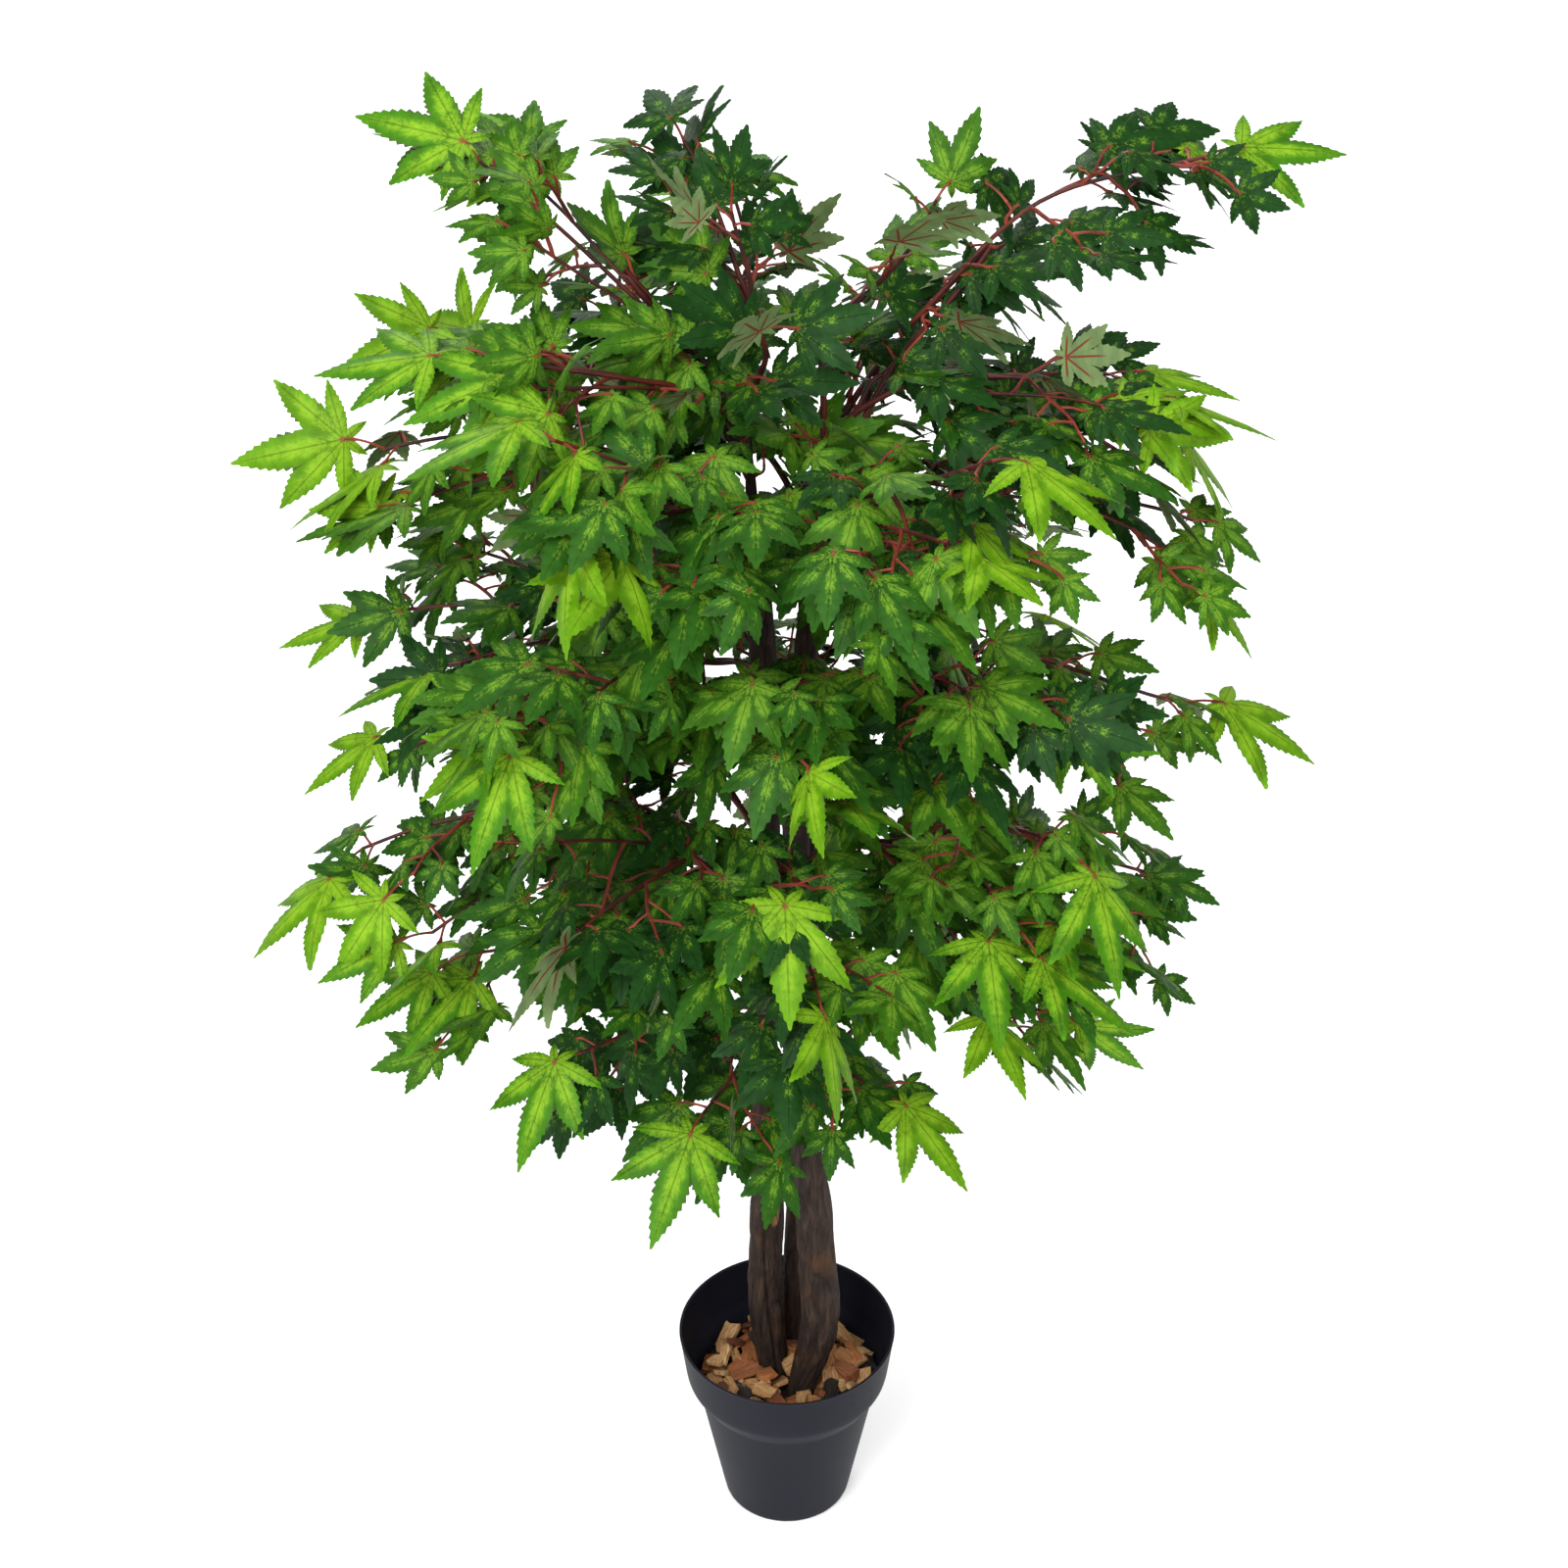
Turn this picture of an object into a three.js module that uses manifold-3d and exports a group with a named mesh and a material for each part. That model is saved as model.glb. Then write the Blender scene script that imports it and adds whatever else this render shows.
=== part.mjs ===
// An artificial Japanese maple in a plain pot, as a scene graph of named meshes.
// Millimetres, +Z up. The origin is the centre of the pot's flat underside, and the front of the tree faces -Y.
import * as THREE from 'three';
import { mergeVertices } from 'three/addons/utils/BufferGeometryUtils.js';
import Module from 'manifold-3d';

const wasm = await Module();
wasm.setup();

// ---------------------------------------------------------------- driving dimensions

const GAP = 0.4; // left between pieces that touch

const POT = {
  height: 167,
  rimRadius: 85,
  footRadius: 50.5,
  wall: 2.6,
  floor: 4,
  collar: 57, // the wide band under the rim, down to its shoulder
  shoulderDrop: 20,
  shoulderStep: 9.9,
  flare: 4.6, // how much wider the rim is than the collar's foot
  segments: 28,
};
const FILL_TOP = 104; // the firm filling that the stems stand in
const CHIP_TOP = 122; // the layer of wood chips over it
const CHIP_BUMP = 2.2;

const STEM_SIDES = 10;
const STEM_STEP = 62; // between the rings of a stem
const STEMS = [
  // route: [height, x, y, radius], from the cut foot to the tip
  {
    name: 'stem_left',
    route: [[FILL_TOP, -8, 9, 13.5], [182, -17, 12, 15], [275, -14, 13, 14.5], [345, -16, 13, 12.8],
      [420, -18, 12, 11.6], [600, -15, 12, 11], [735, -14, 13, 10.4], [880, -22, 12, 9], [985, -28, 16, 6.5]],
  },
  {
    name: 'stem_right',
    route: [[FILL_TOP, 7, -15, 13], [190, 23, -14, 18], [268, 24, -15, 17], [325, 18, -16, 15.6],
      [420, 8, -17, 12.6], [560, 7, -17, 11.6], [710, 6, -16, 11.2], [860, 16, -12, 9.4], [960, 26, -8, 7]],
  },
  {
    name: 'stem_back',
    route: [[FILL_TOP, 4, 38, 9.5], [205, 7, 38, 10.5], [400, 16, 36, 9.6], [600, 22, 34, 9], [800, 14, 38, 8],
      [930, 8, 44, 6]],
  },
];

// Foliage in five tiers. Each mass hangs on a spine in the upright plane at its azimuth (0 is +X, -90 the front):
// from near the stems at height root, over an arch that is pulled towards height crest, out to reach and height tip.
const TIERS = {
  low: { root: 505, crest: 610, width: 185, thick: 112, spread: 52 },
  mid: { root: 640, crest: 770, width: 225, thick: 132, spread: 48 },
  high: { root: 785, crest: 905, width: 240, thick: 140, spread: 48 },
  crown: { root: 915, crest: 1025, width: 235, thick: 120, spread: 44 },
  top: { root: 992, crest: 1120, width: 190, thick: 118, spread: 34 },
};
const MASSES = [
  { tier: 'low', name: 'left', azimuth: -164, reach: 300, tip: 500, bough: 'stem_left' },
  { tier: 'low', name: 'left_front', azimuth: -138, reach: 262, tip: 486 },
  { tier: 'low', name: 'front_left', azimuth: -112, reach: 232, tip: 446, crest: 560, bough: 'stem_left' },
  { tier: 'low', name: 'front_right', azimuth: -72, reach: 226, tip: 462, crest: 575, bough: 'stem_right' },
  { tier: 'low', name: 'right', azimuth: -16, reach: 272, tip: 468, bough: 'stem_right' },
  { tier: 'low', name: 'back_right', azimuth: 40, reach: 288, tip: 500, bough: 'stem_back' },
  { tier: 'low', name: 'back', azimuth: 92, reach: 262, tip: 476 },
  { tier: 'low', name: 'back_left', azimuth: 142, reach: 290, tip: 505, bough: 'stem_left' },

  { tier: 'mid', name: 'left', azimuth: -171, reach: 352, tip: 590, bough: 'stem_left' },
  { tier: 'mid', name: 'front_left', azimuth: -126, reach: 318, tip: 618 },
  { tier: 'mid', name: 'front', azimuth: -86, reach: 288, tip: 600, bough: 'stem_right' },
  { tier: 'mid', name: 'front_right', azimuth: -46, reach: 322, tip: 604 },
  { tier: 'mid', name: 'right', azimuth: -8, reach: 346, tip: 520, crest: 735, bough: 'stem_right' },
  { tier: 'mid', name: 'back_right', azimuth: 42, reach: 328, tip: 612 },
  { tier: 'mid', name: 'back', azimuth: 92, reach: 305, tip: 596, bough: 'stem_back' },
  { tier: 'mid', name: 'back_left', azimuth: 142, reach: 330, tip: 610 },

  { tier: 'high', name: 'left', azimuth: 180, reach: 366, tip: 735, bough: 'stem_left' },
  { tier: 'high', name: 'front_left', azimuth: -130, reach: 330, tip: 790 },
  { tier: 'high', name: 'front', azimuth: -90, reach: 286, tip: 780, bough: 'stem_right' },
  { tier: 'high', name: 'front_right', azimuth: -46, reach: 334, tip: 780 },
  { tier: 'high', name: 'right', azimuth: -6, reach: 368, tip: 668, crest: 860, bough: 'stem_right' },
  { tier: 'high', name: 'back_right', azimuth: 58, reach: 335, tip: 760 },
  { tier: 'high', name: 'back_left', azimuth: 122, reach: 335, tip: 765 },

  { tier: 'crown', name: 'left', azimuth: 178, reach: 374, tip: 902, bough: 'stem_left' },
  { tier: 'crown', name: 'front_left', azimuth: -126, reach: 292, tip: 940 },
  { tier: 'crown', name: 'front_right', azimuth: -56, reach: 290, tip: 925 },
  { tier: 'crown', name: 'right', azimuth: -3, reach: 372, tip: 796, crest: 1010, bough: 'stem_right' },
  { tier: 'crown', name: 'back_right', azimuth: 60, reach: 305, tip: 930, bough: 'stem_back' },
  { tier: 'crown', name: 'back_left', azimuth: 120, reach: 305, tip: 935 },

  { tier: 'top', name: 'left_sweep', azimuth: 168, reach: 268, tip: 1172, crest: 1150, bough: 'stem_left' },
  { tier: 'top', name: 'left_crest', azimuth: 140, reach: 150, tip: 1212, crest: 1120, width: 170 },
  { tier: 'top', name: 'left_shoulder', azimuth: -168, reach: 312, tip: 1004, crest: 1100, root: 975 },
  { tier: 'top', name: 'right_sweep', azimuth: 5, reach: 352, tip: 1086, crest: 1230, width: 170, thick: 92,
    bough: 'stem_right' },
  { tier: 'top', name: 'right_shoulder', azimuth: -10, reach: 334, tip: 980, crest: 1065, root: 970, thick: 84 },
  { tier: 'top', name: 'sprig_left', azimuth: -125, reach: 62, tip: 1210, crest: 1060, width: 130, spread: 12 },
  { tier: 'top', name: 'sprig_right', azimuth: 16, reach: 118, tip: 1202, crest: 1060, width: 120, spread: 20 },
];
const MASS_SIDES = 8;
const MASS_RINGS = 6;
const MASS_UNEVEN = 0.16;

const BOUGH = { foot: 4.2, tip: 2.6, drop: 78, into: 0.3, sides: 5, rings: 5 };

// ---------------------------------------------------------------- materials

const finish = (color, roughness) => new THREE.MeshStandardMaterial({ color, roughness, metalness: 0 });
const MATERIALS = {
  pot: finish(0x34353c, 0.5),
  fill: finish(0x8f8a80, 0.95),
  chips: finish(0xa9763f, 0.85),
  bark: finish(0x3d2f2a, 0.9),
  bough: finish(0x43252a, 0.5),
  leaves: finish(0x3f8a2c, 0.7),
};

// ---------------------------------------------------------------- shapes

const radians = (degrees) => (degrees * Math.PI) / 180;

// A closed skin over rings of points, all with the same number of points, shut at each end by a middle point.
function skin(rings, first, last) {
  const sides = rings[0].length;
  const points = [first, ...rings.flat(), last];
  const faces = [];
  const at = (ring, side) => 1 + ring * sides + (side % sides);
  for (let side = 0; side < sides; side++) {
    faces.push(0, at(0, side + 1), at(0, side));
    for (let ring = 0; ring + 1 < rings.length; ring++) {
      const [a, b] = [at(ring, side), at(ring, side + 1)];
      const [c, d] = [at(ring + 1, side), at(ring + 1, side + 1)];
      faces.push(a, b, d, a, d, c);
    }
    faces.push(at(rings.length - 1, side), at(rings.length - 1, side + 1), points.length - 1);
  }
  const geometry = new THREE.BufferGeometry();
  geometry.setAttribute('position', new THREE.Float32BufferAttribute(points.flatMap((p) => p.toArray()), 3));
  geometry.setIndex(faces);
  return geometry;
}

// The value of a smooth curve through [key, value, ...] rows at a key, one column at a time.
function along(rows, key) {
  const last = rows.length - 1;
  const from = Math.min(Math.max(rows.findIndex((row) => row[0] > key) - 1, 0), last - 1);
  const start = rows[key >= rows[last][0] ? last - 1 : from];
  const end = rows[key >= rows[last][0] ? last : from + 1];
  const share = THREE.MathUtils.smoothstep(key, start[0], end[0]) * 0.5
    + (0.5 * (key - start[0])) / (end[0] - start[0]);
  return start.slice(1).map((value, i) => THREE.MathUtils.lerp(value, end[i + 1], share));
}

// A stem: level rings that follow its route, a little lumpy, with a flat cut at the foot. grow makes it fatter.
function stemShape(route, index, grow = 0) {
  const [foot, head] = [route[0][0], route[route.length - 1][0]];
  const count = Math.round((head - foot) / STEM_STEP);
  const rings = [];
  for (let i = 0; i <= count; i++) {
    const z = THREE.MathUtils.lerp(foot, head, i / count);
    const [x, y, radius] = along(route, z);
    const ring = [];
    for (let side = 0; side < STEM_SIDES; side++) {
      const angle = (2 * Math.PI * side) / STEM_SIDES;
      const lump = 1 + 0.05 * Math.sin(2 * angle + z / 60 + index) + 0.03 * Math.sin(3 * angle - z / 45);
      const r = radius * lump + grow;
      ring.push(new THREE.Vector3(x + r * Math.cos(angle), y + r * Math.sin(angle), z));
    }
    rings.push(ring);
  }
  const middle = (z) => new THREE.Vector3(...along(route, z).slice(0, 2), z);
  return skin(rings, middle(foot), middle(head));
}

// A tapering limb of round section along a curve in an upright plane.
function limbShape(curve, azimuth, foot, tip, sides, rings) {
  const across = new THREE.Vector3(-Math.sin(radians(azimuth)), Math.cos(radians(azimuth)), 0);
  const loops = [];
  for (let i = 0; i <= rings; i++) {
    const t = i / rings;
    const [centre, ahead] = [curve.getPoint(t), curve.getTangent(t)];
    const up = new THREE.Vector3().crossVectors(ahead, across);
    const radius = THREE.MathUtils.lerp(foot, tip, t);
    const loop = [];
    for (let side = 0; side < sides; side++) {
      const angle = (2 * Math.PI * side) / sides;
      loop.push(centre.clone()
        .addScaledVector(across, radius * Math.cos(angle))
        .addScaledVector(up, radius * Math.sin(angle)));
    }
    loops.push(loop);
  }
  return skin(loops, curve.getPoint(0), curve.getPoint(1));
}

// The spine of a mass, in the upright plane at its azimuth.
function spineOf(mass) {
  const size = { ...TIERS[mass.tier], ...mass };
  const out = new THREE.Vector3(Math.cos(radians(size.azimuth)), Math.sin(radians(size.azimuth)), 0);
  const place = (r, z) => out.clone().multiplyScalar(r).setZ(z);
  return new THREE.QuadraticBezierCurve3(
    place(size.spread, size.root),
    place(size.spread + 0.55 * (size.reach - size.spread), size.crest),
    place(size.reach, size.tip),
  );
}

// A mass: ovals across its spine, widest past the middle and uneven all round, closed to a point at each end.
function massShape(mass, index) {
  const size = { ...TIERS[mass.tier], ...mass };
  const spine = spineOf(mass);
  const azimuth = radians(size.azimuth);
  const across = new THREE.Vector3(-Math.sin(azimuth), Math.cos(azimuth), 0);
  const rings = [];
  for (let i = 1; i < MASS_RINGS; i++) {
    const t = (1 - Math.cos((Math.PI * i) / MASS_RINGS)) / 2;
    const [centre, ahead] = [spine.getPoint(t), spine.getTangent(t)];
    const up = new THREE.Vector3().crossVectors(ahead, across);
    const swell = Math.sin((Math.PI * i) / MASS_RINGS) ** 0.8 * (0.86 + 0.22 * Math.sin(Math.PI * t * 1.1));
    const ring = [];
    for (let side = 0; side < MASS_SIDES; side++) {
      const angle = (2 * Math.PI * side) / MASS_SIDES;
      const uneven = 1
        + MASS_UNEVEN * Math.sin(3 * angle + 1.9 * index + 6 * t)
        + 0.6 * MASS_UNEVEN * Math.sin(2 * angle - 9 * t + 2.7 * index);
      ring.push(centre.clone()
        .addScaledVector(across, 0.5 * size.width * swell * uneven * Math.cos(angle))
        .addScaledVector(up, 0.5 * size.thick * swell * uneven * Math.sin(angle)));
    }
    rings.push(ring);
  }
  return skin(rings, spine.getPoint(0), spine.getPoint(1));
}

// ---------------------------------------------------------------- cutting

function solid(geometry) {
  const bare = geometry.clone();
  bare.deleteAttribute('normal');
  bare.deleteAttribute('uv');
  const merged = mergeVertices(bare, 1e-3);
  const mesh = new wasm.Mesh({
    numProp: 3,
    vertProperties: new Float32Array(merged.attributes.position.array),
    triVerts: new Uint32Array(merged.index.array),
  });
  return new wasm.Manifold(mesh);
}

function shapeOf(body) {
  const { vertProperties, triVerts } = body.getMesh();
  const geometry = new THREE.BufferGeometry();
  geometry.setAttribute('position', new THREE.Float32BufferAttribute(vertProperties, 3));
  geometry.setIndex(Array.from(triVerts));
  return geometry;
}

// The largest of the bodies that a cut leaves.
function largest(body) {
  return body.decompose().reduce((best, piece) => (piece.volume() > best.volume() ? piece : best));
}

// Parts two masses with a plane between their spines, nearer the thinner one, and trims both back from it.
function part(masses, i, j) {
  const [a, b] = [masses[i], masses[j]];
  const ahead = a.spine.getPoint(1).sub(a.spine.getPoint(0)).normalize()
    .add(b.spine.getPoint(1).sub(b.spine.getPoint(0)).normalize());
  const samples = [0.15, 0.35, 0.55, 0.75, 0.95];
  const normal = new THREE.Vector3();
  for (const t of samples) normal.add(b.spine.getPoint(t)).sub(a.spine.getPoint(t));
  if (ahead.length() > 0.7) normal.projectOnPlane(ahead.normalize());
  normal.normalize();
  const near = Math.max(...samples.map((t) => a.spine.getPoint(t).dot(normal)));
  const far = Math.min(...samples.map((t) => b.spine.getPoint(t).dot(normal)));
  const middle = near + ((far - near) * a.thick) / (a.thick + b.thick);
  a.body = largest(a.body.trimByPlane(normal.clone().negate().toArray(), -(middle - GAP)));
  b.body = largest(b.body.trimByPlane(normal.toArray(), middle + GAP));
}

// ---------------------------------------------------------------- the pieces

const tree = new THREE.Group();

function piece(name, geometry, material) {
  const flat = geometry.index ? geometry.toNonIndexed() : geometry;
  flat.computeVertexNormals();
  const mesh = new THREE.Mesh(flat, material);
  mesh.name = name;
  tree.add(mesh);
}

// The pot's faces as [height, radius] rows, from the foot to the rim.
const shoulderTop = POT.height - POT.collar + POT.shoulderDrop;
const shoulderFoot = POT.height - POT.collar;
const collarFoot = POT.rimRadius - POT.flare;
const bodyTop = collarFoot - POT.shoulderStep;
const OUTER_FACE = [[0, POT.footRadius], [shoulderFoot, bodyTop], [shoulderTop, collarFoot],
  [POT.height, POT.rimRadius]];
const INNER_FACE = [[POT.floor, POT.footRadius - POT.wall], [shoulderFoot - 1, bodyTop - POT.wall],
  [shoulderTop, collarFoot - POT.wall], [POT.height, POT.rimRadius - POT.wall]];

function radiusOn(face, z) {
  const above = Math.max(face.findIndex((row) => row[0] > z), 1);
  const [low, high] = face.slice(above - 1, above + 1);
  return THREE.MathUtils.mapLinear(z, low[0], high[0], low[1], high[1]);
}

function addPot() {
  const outside = [[0, 0], [0, POT.footRadius - 4], [1.3, POT.footRadius - 0.8], [5, radiusOn(OUTER_FACE, 5)],
    OUTER_FACE[1], [shoulderFoot + 4, bodyTop + 3.4], [shoulderTop - 5, collarFoot - 1], OUTER_FACE[2],
    [POT.height - 1.2, POT.rimRadius], [POT.height, POT.rimRadius - 0.8]];
  const inside = [...INNER_FACE].reverse();
  const profile = [...outside, ...inside, [POT.floor, 0]].map(([z, r]) => new THREE.Vector2(r, z));
  const shape = new THREE.LatheGeometry(profile, POT.segments);
  shape.rotateX(Math.PI / 2);
  piece('pot', shapeOf(solid(shape)), MATERIALS.pot);
}

// The pot's inner face at a height, less a gap.
const linedRadius = (z) => radiusOn(INNER_FACE, z) - GAP;

// Level rings from the pot's axis out to its wall. Each row is [height, radius, bump].
function discShape(rows) {
  const rings = rows.map(([z, radius, bump]) => {
    const ring = [];
    for (let side = 0; side < POT.segments; side++) {
      const angle = (2 * Math.PI * side) / POT.segments;
      const rise = bump * (Math.sin(5 * angle + radius / 9) + 0.6 * Math.sin(9 * angle - radius / 6));
      ring.push(new THREE.Vector3(radius * Math.cos(angle), radius * Math.sin(angle), z + rise));
    }
    return ring;
  });
  const ends = [rows[0][0], rows[rows.length - 1][0]];
  return skin(rings, new THREE.Vector3(0, 0, ends[0]), new THREE.Vector3(0, 0, ends[1]));
}

function addFill() {
  const ends = [POT.floor + GAP, FILL_TOP - GAP];
  piece('pot_fill', discShape(ends.map((z) => [z, linedRadius(z), 0])), MATERIALS.fill);
}

function addChips() {
  const edge = CHIP_TOP - 4;
  const bed = solid(discShape([
    [FILL_TOP, linedRadius(FILL_TOP), 0],
    [INNER_FACE[1][0], linedRadius(INNER_FACE[1][0]), 0],
    [edge, linedRadius(edge) - CHIP_BUMP, 0],
    [CHIP_TOP, 0.72 * linedRadius(CHIP_TOP), CHIP_BUMP],
    [CHIP_TOP, 0.4 * linedRadius(CHIP_TOP), CHIP_BUMP],
  ]));
  piece('wood_chips', shapeOf(largest(stems.reduce((body, stem) => body.subtract(stem.room), bed))), MATERIALS.chips);
}

function makeStems() {
  return STEMS.map(({ name, route }, index) => ({
    name,
    route,
    shape: stemShape(route, index),
    body: solid(stemShape(route, index)),
    room: solid(stemShape(route, index, GAP)),
  }));
}

// A bough leaves its stem below its mass and runs into the mass along the spine.
function makeBoughs(masses, stems) {
  return masses.filter((mass) => mass.bough).map((mass) => {
    const size = { ...TIERS[mass.tier], ...mass };
    const stem = stems.find(({ name }) => name === mass.bough);
    const top = stem.route[stem.route.length - 1][0];
    const foot = Math.min(size.root - BOUGH.drop, top - 2 * BOUGH.foot);
    const start = new THREE.Vector3(...along(stem.route, foot).slice(0, 2), foot);
    const end = mass.spine.getPoint(BOUGH.into);
    const azimuth = THREE.MathUtils.radToDeg(Math.atan2(end.y - start.y, end.x - start.x));
    const bend = start.clone().lerp(end, 0.45).add(new THREE.Vector3(0, 0, 0.12 * start.distanceTo(end)));
    const curve = new THREE.QuadraticBezierCurve3(start, bend, end);
    const shape = (grow) => solid(limbShape(curve, azimuth, BOUGH.foot + grow, BOUGH.tip + grow, BOUGH.sides,
      BOUGH.rings));
    return { name: `bough_${mass.tier}_${mass.name}`, body: shape(0), room: shape(GAP) };
  });
}

const stems = makeStems();
const masses = MASSES.map((mass, index) => ({
  ...TIERS[mass.tier],
  ...mass,
  spine: spineOf(mass),
  body: solid(massShape(mass, index)),
}));
const boughs = makeBoughs(masses, stems);

for (let i = 0; i < masses.length; i++) {
  for (let j = i + 1; j < masses.length; j++) {
    if (masses[i].body.intersect(masses[j].body).volume() > 0) part(masses, i, j);
  }
}
boughs.forEach((bough, i) => {
  bough.body = largest(stems.reduce((body, stem) => body.subtract(stem.room), bough.body));
  for (const other of boughs.slice(0, i)) bough.body = largest(bough.body.subtract(other.room));
});
for (const mass of masses) {
  for (const limb of [...stems, ...boughs]) mass.body = largest(mass.body.subtract(limb.room));
}

addPot();
addFill();
addChips();
for (const stem of stems) piece(stem.name, stem.shape, MATERIALS.bark);
for (const bough of boughs) piece(bough.name, shapeOf(bough.body), MATERIALS.bough);
for (const mass of masses) piece(`foliage_${mass.tier}_${mass.name}`, shapeOf(mass.body), MATERIALS.leaves);

export default tree;
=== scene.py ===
"""An artificial Japanese maple in a plastic pot: fabric leaves on wired sprays, wooden stems, wood chips."""

import collections
import math
import types

import bpy
import numpy as np
from bpy.props import FloatProperty, FloatVectorProperty, IntProperty, PointerProperty
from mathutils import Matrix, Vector
from mathutils.bvhtree import BVHTree


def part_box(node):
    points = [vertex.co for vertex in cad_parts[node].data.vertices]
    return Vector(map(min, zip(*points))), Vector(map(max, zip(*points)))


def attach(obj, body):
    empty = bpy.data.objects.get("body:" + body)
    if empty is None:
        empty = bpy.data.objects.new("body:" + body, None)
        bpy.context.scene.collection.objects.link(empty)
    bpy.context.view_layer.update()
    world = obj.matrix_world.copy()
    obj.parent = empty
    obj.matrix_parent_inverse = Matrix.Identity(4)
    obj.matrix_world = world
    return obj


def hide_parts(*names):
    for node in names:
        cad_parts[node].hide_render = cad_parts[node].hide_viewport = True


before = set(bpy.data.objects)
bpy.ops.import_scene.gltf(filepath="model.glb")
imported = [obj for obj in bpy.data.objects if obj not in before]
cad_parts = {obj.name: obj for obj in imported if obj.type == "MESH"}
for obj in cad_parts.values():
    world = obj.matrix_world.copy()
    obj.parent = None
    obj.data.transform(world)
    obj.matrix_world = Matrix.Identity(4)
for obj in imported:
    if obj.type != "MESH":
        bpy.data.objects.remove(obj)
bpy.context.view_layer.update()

bl_info = {
    "name": "Potted Maple",
    "version": (1, 0, 0),
    "blender": (4, 5, 0),
    "location": "View3D > Sidebar > Maple",
    "description": "Grows the leaves, sprays, stems, chips and pot of an artificial maple round its frame",
    "category": "Add Mesh",
}

MM = 0.001
GOLDEN = math.pi * (3.0 - math.sqrt(5.0))
UP = np.array([0.0, 0.0, 1.0])
FRONT = np.array([0.0, -1.0, 0.0])
BAKED_UV = "OFBake"
VEIN_UV = "vein"
MASS_NODES = sorted(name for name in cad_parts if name.startswith("foliage_"))
BOUGH_NODES = sorted(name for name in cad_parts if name.startswith("bough_"))
STEM_NODES = ("stem_left", "stem_right", "stem_back")
POT_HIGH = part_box("pot")[1]
CHIPS_LOW, CHIPS_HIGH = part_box("wood_chips")

# The five tones of leaves; the first two are for large leaves and the others for small ones.
TONES = ("lime", "fresh", "deep", "mid", "soft")
LARGE_TONES = (0, 1)
SMALL_TONES = (2, 3, 4)

# Masses whose sprays grow in their own way, by parts of their names: SPARSE ones have one bough instead of
# three, REACHING ones grow almost to their tip, STANDING ones hold their leaves up, and GLOWING ones have
# more large leaves.
SPARSE = ("foliage_low", "mid_right", "high_right", "sprig", "right_sweep")
REACHING = ("foliage_low_left", "foliage_mid_left")
STANDING = ("sprig",)
GLOWING = ("foliage_top_left_sweep", "foliage_top_left_shoulder", "foliage_crown_left",
           "foliage_top_right_sweep", "foliage_top_right_shoulder")


# ---------------------------------------------------------------- settings


def metres(name, description, default):
    """A setting that is a length."""
    return FloatProperty(name=name, description=description, default=default, unit="LENGTH")


def colour(name, description, *default):
    """A setting that is a colour, in linear light."""
    return FloatVectorProperty(name=name, description=description, default=default, subtype="COLOR")


class MapleCrownSettings(bpy.types.PropertyGroup):
    """How the sprays branch and how big their leaves are."""

    seed: IntProperty(name="Seed", description="Start of every random draw of the crown", default=11)
    node_gap: metres("Node gap", "Length of bough between two side twigs", 29 * MM)
    twig_most: metres("Longest twig", "Greatest length of a side twig", 64 * MM)
    stalk: metres("Leaf stalk", "Length of the stalk of a small leaf", 18 * MM)
    small_leaf: metres("Small leaf", "Length of a dark leaf's middle lobe", 45 * MM)
    large_leaf: metres("Large leaf", "Length of a bright tip leaf's middle lobe", 79 * MM)
    bough_foot: metres("Bough radius", "Radius of a bough where it leaves its stem", 2.7 * MM)
    bough_tip: metres("Bough tip radius", "Radius of a bough at its last leaf", 1.2 * MM)


class MapleColourSettings(bpy.types.PropertyGroup):
    """The finishes' colours."""

    lime: colour("Lime leaf", "Ground colour of the yellowest tip leaves", 0.090, 0.230, 0.004)
    fresh: colour("Fresh leaf", "Ground colour of the greener tip leaves", 0.045, 0.165, 0.004)
    deep: colour("Deep leaf", "Ground colour of the darkest leaves", 0.009, 0.044, 0.006)
    mid: colour("Middle leaf", "Ground colour of most small leaves", 0.020, 0.083, 0.006)
    soft: colour("Soft leaf", "Ground colour of the lighter small leaves", 0.036, 0.122, 0.006)
    fleck: colour("Leaf fleck", "Colour of the feathery flecks beside the midribs", 0.15, 0.30, 0.020)
    glow: colour("Large leaf light", "Colour of a large leaf near its midribs", 0.235, 0.42, 0.018)
    underside: colour("Leaf underside", "Colour of the backs of the leaves", 0.135, 0.200, 0.075)
    twig: colour("Twig", "Colour of the side twigs and leaf stalks", 0.200, 0.036, 0.022)
    bough: colour("Bough", "Colour of the boughs", 0.040, 0.011, 0.012)
    bark: colour("Bark", "Colour of the stems' bark", 0.030, 0.018, 0.013)
    wood: colour("Bare wood", "Colour where the bark has come away", 0.26, 0.115, 0.048)
    chip: colour("Wood chip", "Colour of a fresh chip", 0.36, 0.195, 0.072)
    pot: colour("Pot", "Colour of the pot's plastic", 0.0085, 0.0092, 0.0150)


class MaplePotSettings(bpy.types.PropertyGroup):
    """The pot's section, measured from its rim and foot."""

    wall: metres("Wall", "Thickness of the pot", 2.6 * MM)
    shoulder_top: metres("Shoulder top", "Height where the collar ends", 130 * MM)
    shoulder_foot: metres("Shoulder foot", "Height where the tapered body begins", 110 * MM)
    collar_foot: metres("Collar foot", "Radius at the lower end of the collar", 80.4 * MM)
    body_top: metres("Body top", "Radius at the upper end of the body", 70.5 * MM)
    foot: metres("Foot", "Radius of the foot", 50.5 * MM)
    floor: metres("Floor", "Thickness of the pot's floor", 4 * MM)


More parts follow.
